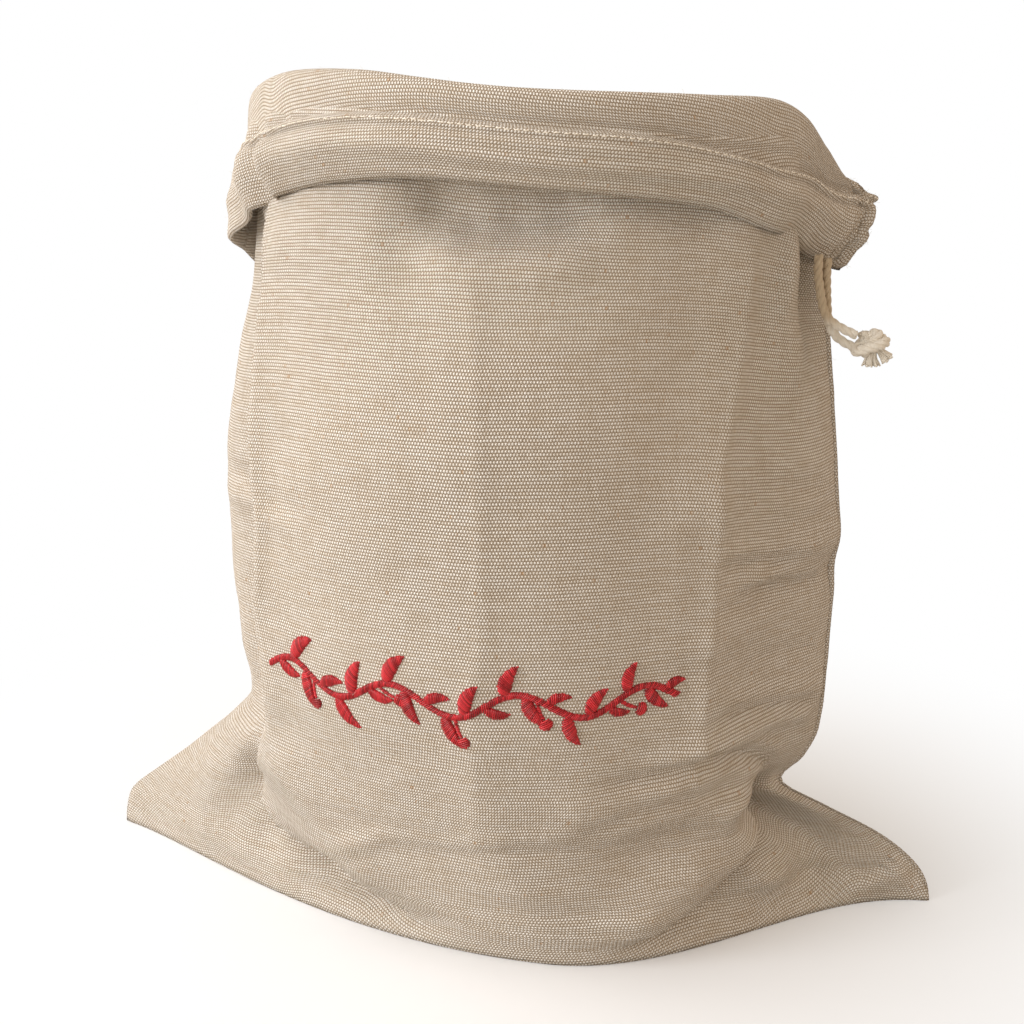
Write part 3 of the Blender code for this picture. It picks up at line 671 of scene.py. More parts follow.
def outline(size, at, inset):
    """The section's outline at places around it: x, y."""
    left, right, centre, point_left, point_right, front, back = size
    turn = math.pi * (1.0 - 2.0 * at)
    along, across = np.cos(turn), np.sin(turn)
    reach = np.where(along > 0, right - centre, centre - left)
    point = np.where(along > 0, point_right, point_left)
    depth = np.where(across > 0, front, back)
    thin = np.abs(across) ** point
    if inset:
        seam = inset + (EAR_SEAM - inset) * ease((point - 1.9) / 0.8)
        x, y = (reach - seam) * along, (depth - inset) * thin
    else:
        x, y = reach * along, depth * thin + CLOTH * (1.0 - thin) * np.abs(across) ** 0.5
    return np.column_stack([centre + x, -np.copysign(y, across)])


def outward(size, at):
    way = outline(size, (at + 0.004) % 1.0, 0.0) - outline(size, (at - 0.004) % 1.0, 0.0)
    normal = np.column_stack([way[:, 1], -way[:, 0]])
    return normal / np.linalg.norm(normal, axis=1)[:, None]


def nearest_way(difference):
    return (difference + 0.5) % 1.0 - 0.5


def folded(folds, at, height):
    """How far a table of folds pushes the cloth out at places of one height."""
    total = np.zeros_like(at)
    for place_1, height_1, place_2, height_2, spread, depth in folds:
        run = np.array((nearest_way(place_2 - place_1) * 2 * FLAT_WIDTH, height_2 - height_1))
        here = np.column_stack([nearest_way(at - place_1) * 2 * FLAT_WIDTH, np.full(len(at), height - height_1)])
        share = np.clip(here @ run / (run @ run), 0.0, 1.0)
        distance = np.linalg.norm(here - share[:, None] * run, axis=1)
        total += depth * np.exp(-(distance / spread) ** 2)
    return total


def creased(creases, at, height):
    """The same for creases that follow a line with several points, fading towards both its ends."""
    total = np.zeros_like(at)
    for spread, depth, line in creases:
        line = np.array(line)
        if not line[:, 1].min() - 3.5 * spread < height < line[:, 1].max() + 3.5 * spread:
            continue
        flat = line * (2 * FLAT_WIDTH, 1.0)
        runs = np.diff(flat, axis=0)
        lengths = np.linalg.norm(runs, axis=1)
        starts = np.concatenate([[0.0], np.cumsum(lengths)])
        nearest, walked = np.full(len(at), 9.0), np.zeros(len(at))
        for (place_1, height_1), run, length, begun in zip(line, runs, lengths, starts):
            here = np.column_stack([nearest_way(at - place_1) * 2 * FLAT_WIDTH, np.full(len(at), height - height_1)])
            share = np.clip(here @ run / length ** 2, 0.0, 1.0)
            distance = np.linalg.norm(here - share[:, None] * run, axis=1)
            closer = distance < nearest
            nearest = np.where(closer, distance, nearest)
            walked = np.where(closer, begun + share * length, walked)
        fade = ease(0.3 + walked / CREASE_FADE) * ease(0.3 + (starts[-1] - walked) / CREASE_FADE)
        total += depth * fade * np.exp(-(nearest / spread) ** 2)
    return total


def lapped(laps, at, height):
    """How far a table of lapped edges draws the cloth in behind them."""
    total = np.zeros_like(at)
    for sharp, reach, depth, line in laps:
        line = np.array(line)
        if not line[:, 1].min() - 2 * reach < height < line[:, 1].max() + 2 * reach:
            continue
        flat = line * (2 * FLAT_WIDTH, 1.0)
        runs = np.diff(flat, axis=0)
        starts = np.concatenate([[0.0], np.cumsum(np.linalg.norm(runs, axis=1))])
        nearest, walked, behind = np.full(len(at), 9.0), np.zeros(len(at)), np.zeros(len(at))
        for (place_1, height_1), run, begun in zip(line, runs, starts):
            here = np.column_stack([nearest_way(at - place_1) * 2 * FLAT_WIDTH, np.full(len(at), height - height_1)])
            share = np.clip(here @ run / (run @ run), 0.0, 1.0)
            off = here - share[:, None] * run
            distance = np.linalg.norm(off, axis=1)
            closer = distance < nearest
            nearest = np.where(closer, distance, nearest)
            walked = np.where(closer, begun + share * np.linalg.norm(run), walked)
            behind = np.where(closer, here[:, 0] * run[1] - here[:, 1] * run[0], behind)
        fade = ease(walked / 0.020) * ease((starts[-1] - walked) / 0.020)
        total -= np.where(behind > 0, depth * ease(nearest / sharp) * np.exp(-(nearest / reach) ** 2) * fade, 0.0)
    return total


waves = np.random.default_rng(5)
WAVES = [(waves.uniform(-1, 1) * scale * 0.6, waves.uniform(-1, 1) * scale, waves.uniform(0, 6.28), 1 / scale)
         for scale in (8.0, 14.0, 22.0, 34.0, 50.0, 75.0) for k in range(7)]


def rumple(at, height):
    """Small uneven waves, as cloth has that was folded and filled again."""
    total = np.zeros_like(at)
    for around, up, phase, size in WAVES:
        total += size * np.cos(2 * math.pi * (round(around) * at + up * height * 1.6) + phase)
    return total * RUMPLE_DEPTH


RUMPLE_DEPTH = 0.0010
CREASE_FADE = 0.016         # how far from its end a crease has its full depth


def around_mouth(table):
    """Each column of a table of places, read smoothly all around the mouth."""
    once = np.eye(table.shape[1])[0]
    ring = np.vstack([table[-2:] - once, table, table[:2] + once])
    return [read_smoothly(ring[:, 0], ring[:, k], place) for k in range(1, table.shape[1])]


rise, drop, swell, flare = around_mouth(CUFF)
lowered, = around_mouth(LEDGE_LOWERED)


from_seam = np.abs(nearest_way(place - SEAM_PLACE)) * 2 * FLAT_WIDTH
seam = SEAM_RIM[1] * np.exp(-(from_seam / SEAM_RIM[0]) ** 2)
seam += SEAM_GROOVE[2] * np.exp(-((from_seam - SEAM_GROOVE[0]) / SEAM_GROOVE[1]) ** 2)


def wall_row(height, inset):
    size = section_at(height)
    flat = outline(size, place, inset)
    pointed = np.where(flat[:, 0] < size[2], size[3], size[4])
    on_ear = ease((pointed - 1.9) / 0.8) * (1.0 - ease(np.abs(flat[:, 1]) / EAR_FREE))
    push = folded(MAIN_FOLDS, place, height) * (1.0 - on_ear) + rumple(place, height) * (1.0 - 0.6 * on_ear)
    push = (push + creased(CREASES, place, height) + lapped(LAPS, place, height) + seam) * ease(np.array(height / FLOOR_FREE))
    flat = flat + outward(size, place) * push[:, None]
    lift = rise * ease(np.array((height - 0.190) / (BODY_HEIGHT - 0.190)))
    return np.column_stack([flat, height + lift])


def bumps(table, at):
    """Vertical folds of the cuff at places around the mouth."""
    return sum(depth * np.exp(-(nearest_way(at - spot) * 2 * FLAT_WIDTH / spread) ** 2) for spot, spread, depth in table)


def gathers(at, down):
    """Pleats of the gathered end, crumpled by a different amount at each height."""
    away = nearest_way(at - GATHER_PLACE)
    wide = GATHER_DEPTH * np.cos(2 * math.pi * away / GATHER_PITCH) * np.exp(-(away / GATHER_REACH) ** 2)
    crumple = (np.cos(2 * math.pi * away / 0.0098 + 2.2 * math.sin(210 * down))
               + 0.8 * np.cos(2 * math.pi * away / 0.0061 - 3.0 * math.sin(330 * down + 1.0)))
    return wide + CRUMPLE_DEPTH * crumple * np.exp(-(away / CRUMPLE_REACH) ** 2)


CRUMPLE_DEPTH = 0.0011
CRUMPLE_REACH = 0.019
kinks = bumps(BAND_KINKS, place)


def cuff_row(offset, height, gathered, kinked=None):
    size = section_at(BODY_HEIGHT)
    down = float(np.mean(height))
    push = offset + gathers(place, down) * gathered + kinks * (gathered if kinked is None else kinked)
    flat = outline(size, place, 0.0) + outward(size, place) * push[:, None]
    away = nearest_way(place - GATHER_PLACE)
    tousle = 0.0012 * np.sin(2 * math.pi * away / 0.0125 + 260 * down) * np.exp(-(away / CRUMPLE_REACH) ** 2)
    return np.column_stack([flat, BODY_HEIGHT + rise + height + tousle * gathered])


def hem_row(offset, top_drop, share):
    kinked = float(ease(np.array(0.2 + share * 3.0)))
    return cuff_row(offset + swell * (1.0 - share) + flare * share, top_drop - (drop + top_drop) * share, 1.0, kinked)


HEM_RIDGE = (0.0008, 0.0006, 0.0004)        # distance below the folded edge, spread, height
HEM_GROOVE = (0.0023, 0.0008, -0.0009)      # the stitched line under the ridge
HEM_TUCK = 0.0060                           # how far the mouth's edge turns in
HEM_RIPPLE = 0.00075


def tuck(share):
    """How far the hem leans in towards the body at a share of its height."""
    return HEM_TUCK * float(ease(np.array((share - 0.35) / 0.65))) * (1.0 - 0.8 * np.clip(flare / 0.009, 0.0, 1.0))


def band_form(share):
    """How far the shown side of the hem stands out at a share of its height."""
    below = share * (drop + ledge)
    form = HEM_PUFF * 1.6 * math.sin(math.pi * share) ** 0.8 - tuck(share)
    for distance, spread, height in (HEM_RIDGE, HEM_GROOVE):
        form = form + height * np.exp(-((below - distance) / spread) ** 2)
    slow = 0.55 + 0.45 * np.cos(2 * math.pi * (3 * place + 0.1))
    ripple = np.cos(2 * math.pi * (share * 2.6 + 0.5 * np.sin(2 * math.pi * 2 * place + 1.0)))
    return form + HEM_RIPPLE * slow * ripple * math.sin(math.pi * share)


ledge = -STITCH_DROP - HEM_LEDGE - lowered
half_way = wall_row(0.13, 0.0)
print("a row at half height is", round(np.linalg.norm(np.diff(half_way, axis=0), axis=1).sum(), 3), "m long")

# %% [markdown]
# ## One cloth, two faces
# The rows are joined from the fold under the base, up the outside, over the mouth, down behind the cuff and
# back along its other face to the inside. Each row is re-spaced so that its points lie evenly from side seam
# to side seam. The columns then follow the warp threads, and a UV map in metres can lay the weave on the
# cloth as it was woven: u across the bag's width, v along the cloth from the bottom fold or from the hem.

# %% Build the cloth
half = 168                  # columns from one side seam to the other
COLUMNS = 2 * half
spread_out = np.linspace(0.0, 1.0, 4001)
crowding = 1.0 + 2.4 * np.exp(-((spread_out - 1.0) / 0.055) ** 2) + 0.5 * np.exp(-((spread_out - 0.78) / 0.08) ** 2)
crowding += 0.5 * np.exp(-((spread_out - 0.21) / 0.05) ** 2)
counted = np.concatenate([[0.0], np.cumsum((crowding[1:] + crowding[:-1]) / 2)])
fractions = np.interp(np.linspace(0.0, 1.0, half + 1), counted / counted[-1], spread_out)
column_u = np.concatenate([fractions[:-1], 2.0 - fractions[::-1]]) * FLAT_WIDTH     # one more than the columns


def along_threads(row):
    """The row with its points at the columns' shares of the way from seam to seam, front and back apart."""
    ring = np.vstack([row, row[:1]])
    middle = SAMPLES // 2
    halves = []
    for stretch, shares in ((ring[:middle + 1], fractions[:-1]), (ring[middle:], 1.0 - fractions[:0:-1])):
        walked = np.concatenate([[0], np.cumsum(np.linalg.norm(np.diff(stretch, axis=0), axis=1))])
        halves.append(np.column_stack([np.interp(shares * walked[-1], walked, stretch[:, k]) for k in range(3)]))
    return np.vstack(halves)


def turned(profile, at):
    """Offsets and drops along a turn, as a smooth line through its points."""
    profile = np.array(profile)
    spots = np.arange(len(profile), dtype=float)
    return [(float(read_smoothly(spots, profile[:, 0], np.array(s))),
             float(read_smoothly(spots, profile[:, 1], np.array(s)))) for s in at]


def turn_rows(profile, steps, lower):
    rows = []
    for offset, down in turned(profile, np.linspace(0, len(profile) - 1, steps)):
        share = float(ease(np.array(-down / STITCH_DROP))) * (offset > 0.0)
        rows.append(cuff_row(offset + swell * share, down - lower * share, share, 0.1 * share))
    return rows


def base_rows(height, inset, shares):
    edge = wall_row(0.0, inset)
    return [np.column_stack([edge[:, 0], edge[:, 1] * share, np.full(SAMPLES, height)]) for share in shares]


WALL_STEPS = np.linspace(0, 0.240, 116)
BASE_STEPS = np.linspace(0, 1, 7)[:-1]
hidden_shares = np.linspace(0, 1, 11)[1:-1]
shown_shares = (0.02, 0.045, 0.07, 0.10, 0.13, 0.165, 0.21, 0.27, 0.34, 0.42, 0.50, 0.58, 0.66, 0.73, 0.80, 0.86, 0.92)
outer_rows = base_rows(0.0, 0.0, BASE_STEPS)
outer_rows += [wall_row(h, 0.0) for h in WALL_STEPS]
outer_rows += turn_rows(TURN_HIDDEN, 11, 0.0)
outer_rows += [hem_row(HEM_HIDDEN - tuck(share), TURN_HIDDEN[-1][1], share) for share in hidden_shares]
outer_rows.append(cuff_row(HEM_HIDDEN - tuck(1.0) + flare + 0.0002, HEM_EDGE_LIFT - drop, 1.0))
edge_row = cuff_row((HEM_HIDDEN - tuck(1.0) + HEM_SHOWN + band_form(1.0)) / 2 + flare, -drop, 1.0)
inner_rows = base_rows(CLOTH, CLOTH, np.linspace(0, 1, 4)[:-1])
inner_rows += [wall_row(h, CLOTH) for h in np.linspace(0.0045, 0.240, 50)]
inner_rows += list(reversed(turn_rows(TURN_SHOWN, 24, lowered)))
inner_rows.append(hem_row(HEM_SHOWN, ledge, 0.0))
inner_rows += [hem_row(HEM_SHOWN + band_form(share), ledge, share) for share in shown_shares]
inner_rows.append(cuff_row(HEM_SHOWN + band_form(1.0) + flare, HEM_EDGE_LIFT - drop, 1.0))

# The weave keeps its pitch along the mid front, and its rows stay level around the wall.
front_depth = np.array([section_at(h)[5] for h in WALL_STEPS])
front_height = WALL_STEPS + rise.max() * ease((WALL_STEPS - 0.190) / (BODY_HEIGHT - 0.190))
level_steps = np.hypot(np.diff(front_depth), np.diff(front_height))
LEVEL_HEIGHT = 0.050        # above it the rows are level; lower down they follow the ears
# cloth taken up by small folds, so that the rows above them lie lower: place, reach, low, high, slack
SLACKS = ((0.47, 0.075, 0.070, 0.160, 0.0085), (0.03, 0.075, 0.100, 0.190, 0.0060))
columns_apart = np.abs((np.arange(COLUMNS)[:, None] - np.arange(COLUMNS)[None, :] + half) % COLUMNS - half)
blur = np.exp(-(columns_apart / 3.0) ** 2)
blur /= blur.sum(axis=1)[:, None]


def face_of_cloth(rows, from_edge):
    """A face's points, row by row, and how far each lies along the cloth."""
    grid = np.array([along_threads(row) for row in rows])
    steps = np.linalg.norm(np.diff(grid, axis=0), axis=2) @ blur
    if from_edge:
        far = np.concatenate([np.zeros((1, COLUMNS)), np.cumsum(steps, axis=0)])
        return grid, far - far[-1] + CLOTH_LENGTH
    first = len(BASE_STEPS)
    anchor = first + int(np.searchsorted(WALL_STEPS, LEVEL_HEIGHT))
    wall = slice(anchor, first + len(level_steps))
    level = level_steps[anchor - first:, None]
    taken_up = np.cumsum(steps[wall] - level, axis=0)
    rows_apart = np.subtract.outer(np.arange(len(level)), np.arange(len(level)))
    settled = np.exp(-(rows_apart / 7.0) ** 2)
    taken_up -= settled @ taken_up / settled.sum(axis=1)[:, None]
    taken_up *= ease(np.arange(len(level)) / 8.0)[:, None]
    steps[wall] = level + np.diff(taken_up, axis=0, prepend=0.0)
    far = np.concatenate([np.zeros((1, COLUMNS)), np.cumsum(steps, axis=0)])
    far += far[anchor, half // 2] - far[anchor]
    for at, reach, low, high, slack in SLACKS:
        side = np.exp(-((column_u[:-1] / (2 * FLAT_WIDTH) - at) / reach) ** 2)
        up = ease((WALL_STEPS - low) / (high - low))
        far[first:first + len(WALL_STEPS)] += slack * up[:, None] * side
        far[first + len(WALL_STEPS):] += slack * side
    return grid, far


CLOTH_LENGTH = 0.385        # from the bottom fold to the mouth's edge
outer_grid, outer_along = face_of_cloth(outer_rows + [edge_row], False)
inner_grid, inner_along = face_of_cloth(inner_rows + [edge_row], True)
for grid in (outer_grid, inner_grid):
    grid[0, half + 1:] = grid[0, 1:half][::-1]
print("cloth rows", len(outer_grid), len(inner_grid), "longest column",
      round(outer_along[-1].max(), 3), "shortest", round(outer_along[-1].min(), 3))

# %% [markdown]
# ## Faces and the weave's UV map
# The two faces of the cloth share the row of points at the hem's edge, and along the bottom fold the front
# and the back share theirs, so the cloth is one closed skin with no loose edges.

# %% Join the two faces into one mesh
def bag_mesh(name, material):
    points = np.vstack([outer_grid.reshape(-1, 3), inner_grid[:-1].reshape(-1, 3)])
    outer_count = outer_grid.shape[0] * COLUMNS
    last = outer_grid.shape[0] - 1

    def outer(row, column):
        column %= COLUMNS
        if row == 0 and column > half:
            column = COLUMNS - column
        return row * COLUMNS + column

    def inner(row, column):
        column %= COLUMNS
        if row == inner_grid.shape[0] - 1:
            return outer(last, column)
        if row == 0 and column > half:
            column = COLUMNS - column
        return outer_count + row * COLUMNS + column

    faces, marks = [], []
    for grid, along, index, flip in ((outer_grid, outer_along, outer, False), (inner_grid, inner_along, inner, True)):
        for row in range(grid.shape[0] - 1):
            for column in range(COLUMNS):
                corners = [(row, column), (row, column + 1), (row + 1, column + 1), (row + 1, column)]
                if flip:
                    corners.reverse()
                seen, kept = set(), []
                for r, c in corners:
                    i = index(r, c)
                    if i not in seen:
                        seen.add(i)
                        kept.append((i, (column_u[c], along[r, c % COLUMNS])))
                faces.append(tuple(i for i, mark in kept))
                marks += [mark for i, mark in kept]
    data = bpy.data.meshes.new(name)
    data.from_pydata([tuple(p) for p in points], [], faces)
    cloth_map = data.uv_layers.new(name="cloth")
    cloth_map.data.foreach_set("uv", np.array(marks, dtype=np.float32).ravel())
    data.materials.append(material)
    data.shade_smooth()
    data.validate()
    piece = bpy.data.objects.new(name, data)
    bpy.context.scene.collection.objects.link(piece)
    print(name, len(data.vertices), "points", sum(len(f) - 2 for f in faces), "triangles")
    return piece


# %% [markdown]
# ## Coarse undyed linen
# Linen yarn is spun from flax stalks, so it is thick in places and thin in others, and its colour runs from
# cream to straw with darker bits of stalk. This cloth has thick weft yarns, 1.03 mm apart, crossed by finer
# warp yarns 0.49 mm apart. Where a warp yarn lies over a weft it makes a pale knuckle, and the next row's
# knuckles sit between them, like bricks. Light sinks into the gaps, which look tan. The whole pattern is
# worked out from the UV map in metres, so it has its true scale and follows every fold.

# %% Material: undyed linen in plain weave
WEFT_PITCH = 0.00103
WARP_PITCH = 0.00049
SLUB_LENGTH = 0.012         # a thick or dark stretch of yarn
THREAD_WANDER = 0.00022     # how far a row strays from straight

tree, linen_weave = new_material("undyed linen plain weave")
mapped = add_node(tree, "ShaderNodeUVMap", uv_map="cloth")
split = add_node(tree, "ShaderNodeSeparateXYZ", {0: mapped})
across_u, along_v = split.outputs[0], split.outputs[1]
wander = add_node(tree, "ShaderNodeTexNoise", {"Vector": mapped, "Scale": 60.0, "Detail": 2.0})
stray = add_node(tree, "ShaderNodeMath", {0: wander, 1: THREAD_WANDER * 2, 2: -THREAD_WANDER}, operation="MULTIPLY_ADD")
v_thread = add_node(tree, "ShaderNodeMath", {0: along_v, 1: stray}, operation="ADD")
rows = add_node(tree, "ShaderNodeMath", {0: v_thread, 1: 1 / WEFT_PITCH}, operation="MULTIPLY")
row = add_node(tree, "ShaderNodeMath", {0: rows}, operation="FLOOR")
in_row = add_node(tree, "ShaderNodeMath", {0: add_node(tree, "ShaderNodeMath", {0: rows}, operation="FRACT"), 1: 0.5},
                  operation="SUBTRACT")
brick = add_node(tree, "ShaderNodeMath", {0: row, 1: 0.5}, operation="MULTIPLY")
knuckles = add_node(tree, "ShaderNodeMath", {0: across_u, 1: 0.5 / WARP_PITCH, 2: brick}, operation="MULTIPLY_ADD")
print("linen:", round(FLAT_WIDTH / WARP_PITCH), "warp yarns across,", round(CLOTH_LENGTH / WEFT_PITCH), "weft rows up")

# %% Linen: height of the weave
cell = add_node(tree, "ShaderNodeCombineXYZ", {0: add_node(tree, "ShaderNodeMath",
                {0: across_u, 1: 1 / SLUB_LENGTH}, operation="MULTIPLY"),
                1: add_node(tree, "ShaderNodeMath", {0: row, 1: 0.73}, operation="MULTIPLY")})
slub = add_node(tree, "ShaderNodeTexNoise", {"Vector": cell, "Scale": 1.0, "Detail": 2.0, "Roughness": 0.6})
rib = add_node(tree, "ShaderNodeMath", {0: add_node(tree, "ShaderNodeMath", {0: in_row, 1: math.pi},
               operation="MULTIPLY")}, operation="COSINE")
knuckle = add_node(tree, "ShaderNodeMath", {0: add_node(tree, "ShaderNodeMath", {0: knuckles, 1: 2 * math.pi},
                   operation="MULTIPLY")}, operation="COSINE")
knuckle_share = add_node(tree, "ShaderNodeMath", {0: knuckle, 1: 0.42, 2: 0.58}, operation="MULTIPLY_ADD")
thickness = add_node(tree, "ShaderNodeMapRange", {0: slub, 1: 0.3, 2: 0.7, 3: 1.15, 4: 0.78})
woven = add_node(tree, "ShaderNodeMath", {0: add_node(tree, "ShaderNodeMath", {0: rib, 1: knuckle_share},
                 operation="MULTIPLY"), 1: thickness}, operation="MULTIPLY")
hair = add_node(tree, "ShaderNodeTexNoise", {"Vector": add_node(tree, "ShaderNodeVectorMath",
                {0: mapped, 1: (1.0, 2.2, 1.0)}, operation="MULTIPLY"), "Scale": 2600.0, "Detail": 2.0})
surface = add_node(tree, "ShaderNodeMath", {0: hair, 1: 0.35, 2: woven}, operation="MULTIPLY_ADD")

# %% Linen: colours of gaps, yarns and flecks
warp_cell = add_node(tree, "ShaderNodeCombineXYZ", {0: add_node(tree, "ShaderNodeMath",
                     {0: add_node(tree, "ShaderNodeMath", {0: across_u, 1: 1 / WARP_PITCH}, operation="MULTIPLY")},
                     operation="FLOOR"), 1: add_node(tree, "ShaderNodeMath", {0: along_v, 1: 55.0},
                     operation="MULTIPLY")})
warp_tone = add_node(tree, "ShaderNodeTexNoise", {"Vector": warp_cell, "Scale": 0.83, "Detail": 1.0})
tone_mix = add_node(tree, "ShaderNodeMath", {0: slub, 1: 0.62, 2: add_node(tree, "ShaderNodeMath",
                    {0: warp_tone, 1: 0.38}, operation="MULTIPLY")}, operation="MULTIPLY_ADD")
yarn = add_node(tree, "ShaderNodeValToRGB", {0: tone_mix})
for stop, (spot, code) in zip([yarn.color_ramp.elements[0], yarn.color_ramp.elements[1],
                               yarn.color_ramp.elements.new(0.5), yarn.color_ramp.elements.new(0.62)],
                              ((0.30, "FAF6F1"), (0.78, "C3AC8F"), (0.47, "F5F0E9"), (0.60, "E6DED3"))):
    stop.position = spot
    stop.color = linear(code)
blotch = add_node(tree, "ShaderNodeTexNoise", {"Vector": mapped, "Scale": 16.0, "Detail": 3.0})
gap_tone = add_node(tree, "ShaderNodeMix", {0: blotch, 6: linear("8C7A65"), 7: linear("B09E87")}, data_type="RGBA")
shown = add_node(tree, "ShaderNodeMapRange", {0: surface, 1: 0.26, 2: 0.68}, interpolation_type="SMOOTHSTEP")
cloth_tone = add_node(tree, "ShaderNodeMix", {0: shown, 6: gap_tone.outputs[2], 7: yarn}, data_type="RGBA")
fleck_cell = add_node(tree, "ShaderNodeCombineXYZ", {0: add_node(tree, "ShaderNodeMath",
                      {0: across_u, 1: 420.0}, operation="MULTIPLY"), 1: add_node(tree, "ShaderNodeMath",
                      {0: row, 1: 1.37}, operation="MULTIPLY")})
fleck = add_node(tree, "ShaderNodeTexNoise", {"Vector": fleck_cell, "Scale": 1.0, "Detail": 0.0})
fleck_share = add_node(tree, "ShaderNodeMapRange", {0: fleck, 1: 0.79, 2: 0.86, 3: 0.0, 4: 0.55})
flecked = add_node(tree, "ShaderNodeMix", {0: fleck_share, 6: cloth_tone.outputs[2], 7: linear("B08450")},
                   data_type="RGBA")
relief = add_node(tree, "ShaderNodeBump", {"Height": surface, "Distance": 0.00045, "Strength": 1.0})
shader = add_node(tree, "ShaderNodeBsdfPrincipled", {"Base Color": flecked.outputs[2], "Roughness": 0.88,
                  "IOR": 1.5, "Specular IOR Level": 0.25, "Sheen Weight": 0.12, "Sheen Roughness": 0.45,
                  "Normal": relief})
add_node(tree, "ShaderNodeOutputMaterial", {"Surface": shader})

bag = bag_mesh("bag_cloth", linen_weave)
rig.ride(bag, "root")
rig.slot(bag, "linen")
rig.replaces(bag, "bag")
SHEET_LENGTH = 0.80         # cut length: both sides and both turned hems
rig.sheet(bag, flat=(FLAT_WIDTH, SHEET_LENGTH), held="gathered")

# %% [markdown]
# ## The line of stitches over the mouth
# The hem's folded edge is sewn down with a light cotton thread. Each stitch shows as a short raised dash
# on the ridge. They are real small tubes with their ends sunk in the cloth, a little uneven as sewn ones are.

# %% Stitches on the hem's ridge
HEM_STITCH_PITCH = 0.0026
HEM_STITCH = 0.0019
HEM_STITCH_RADIUS = 0.00016
ridge_share = shown_shares[1]
ridge = hem_row(HEM_SHOWN + band_form(ridge_share) + 0.00004, ledge, ridge_share)
ridge_way = outward(section_at(BODY_HEIGHT), place)


def along_ring(ring, distance):
    """Points at distances along a closed row."""
    closed = np.vstack([ring, ring[:1]])
    walked = np.concatenate([[0], np.cumsum(np.linalg.norm(np.diff(closed[:, :3], axis=0), axis=1))])
    return np.column_stack([np.interp(distance, walked, closed[:, k]) for k in range(closed.shape[1])]), walked[-1]


random = np.random.default_rng(3)
ridge_ring = np.hstack([ridge, ridge_way])
ridge_length = along_ring(ridge_ring, [0.0])[1]
stitches = []
for begun in np.arange(0.0, ridge_length - HEM_STITCH_PITCH, HEM_STITCH_PITCH):
    spots = begun + random.normal(0, 0.00012) + np.linspace(0, HEM_STITCH, 6)
    spot = along_ring(ridge_ring, spots)[0]
    sunk = 0.0004 * np.abs(np.linspace(-1, 1, 6)) ** 3
    route = spot[:, :3] - np.column_stack([spot[:, 3:] * sunk[:, None], np.zeros(6)])
    route[:, 2] += random.normal(0, 0.00008)
    stitches.append(tube(route, HEM_STITCH_RADIUS, 6))
new_piece("hem_stitches", joined(stitches), sewing_thread, "cord")
print(len(stitches), "stitches around", round(ridge_length, 3), "m")

# %% [markdown]
# ## Rayon embroidery thread
# The red thread is viscose rayon: its filaments are smooth, so it has a silky gloss that cotton lacks. The
# gloss breaks up over thousands of parallel threads, which is what makes satin stitch look like satin.

# %% Material: red rayon thread
tree, rayon_thread = new_material("red rayon embroidery thread")
position = add_node(tree, "ShaderNodeTexCoord").outputs["Object"]
lot = add_node(tree, "ShaderNodeTexNoise", {"Vector": position, "Scale": 2400.0, "Detail": 1.0})
each = add_node(tree, "ShaderNodeNewGeometry").outputs["Random Per Island"]
uneven = add_node(tree, "ShaderNodeMath", {0: each, 1: 0.75, 2: add_node(tree, "ShaderNodeMath",
                  {0: lot, 1: 0.5, 2: -0.12}, operation="MULTIPLY_ADD")}, operation="MULTIPLY_ADD")
red = add_node(tree, "ShaderNodeMix", {0: uneven, 6: linear("7C0A13"), 7: linear("E23640")}, data_type="RGBA")
shader = add_node(tree, "ShaderNodeBsdfPrincipled", {"Base Color": red.outputs[2], "Roughness": 0.36,
                  "IOR": 1.52, "Specular IOR Level": 0.45, "Sheen Weight": 0.15, "Sheen Tint": linear("FF8080")})
add_node(tree, "ShaderNodeOutputMaterial", {"Surface": shader})
print("rayon red", [round(c, 3) for c in linear("C5202B")])

# %% [markdown]
# ## A sprig in satin stitch
# The front carries an ornament low down: a waving stem with leaves and berries, in raised satin stitch.
# Satin stitch lays threads side by side across a shape. Each thread here is a thin tube that arches over
# the cloth, so the shape looks padded and catches the light as the real work does.

# %% The embroidered sprig
THREAD_PITCH = 0.00058
THREAD_RADIUS = 0.00028
PADDING = 0.00085           # how high the widest satin stands over the cloth
SPRIG_PLACES = (0.121, 0.343)
SPRIG_HEIGHT = 0.0925
STEM_WAVE = 0.0040
STEM_WAVES = 3.5
STEM_WIDTH = 0.0020
LEAF_LENGTH = 0.0135
LEAF_WIDTH = 0.0046
LEAVES = 11                 # on each side of the stem
wall_grid = np.array(outer_rows[len(BASE_STEPS):len(BASE_STEPS) + len(WALL_STEPS)])


def on_wall(at, height):
    """Points on the outside of the wall at places and heights, by linear reading between its rows."""
    column = np.asarray(at) * SAMPLES
    row = np.asarray(height) / (WALL_STEPS[1] - WALL_STEPS[0])
    c, r = np.floor(column).astype(int), np.clip(np.floor(row).astype(int), 0, len(WALL_STEPS) - 2)
    cs, rs = (column - c)[:, None], (row - r)[:, None]
    low = wall_grid[r, c % SAMPLES] * (1 - cs) + wall_grid[r, (c + 1) % SAMPLES] * cs
    high = wall_grid[r + 1, c % SAMPLES] * (1 - cs) + wall_grid[r + 1, (c + 1) % SAMPLES] * cs
    return low * (1 - rs) + high * rs


def wall_normal(at, height):
    across = on_wall(at + 0.002, height) - on_wall(at - 0.002, height)
    up = on_wall(at, height + 0.001) - on_wall(at, height - 0.001)
    normal = np.cross(across, up)
    return normal / np.linalg.norm(normal, axis=1)[:, None]


sprig_row = on_wall(place, np.full(SAMPLES, SPRIG_HEIGHT))
row_walked = np.concatenate([[0], np.cumsum(np.linalg.norm(np.diff(sprig_row, axis=0), axis=1))])
sprig_start, sprig_end = np.interp(SPRIG_PLACES, place, row_walked)


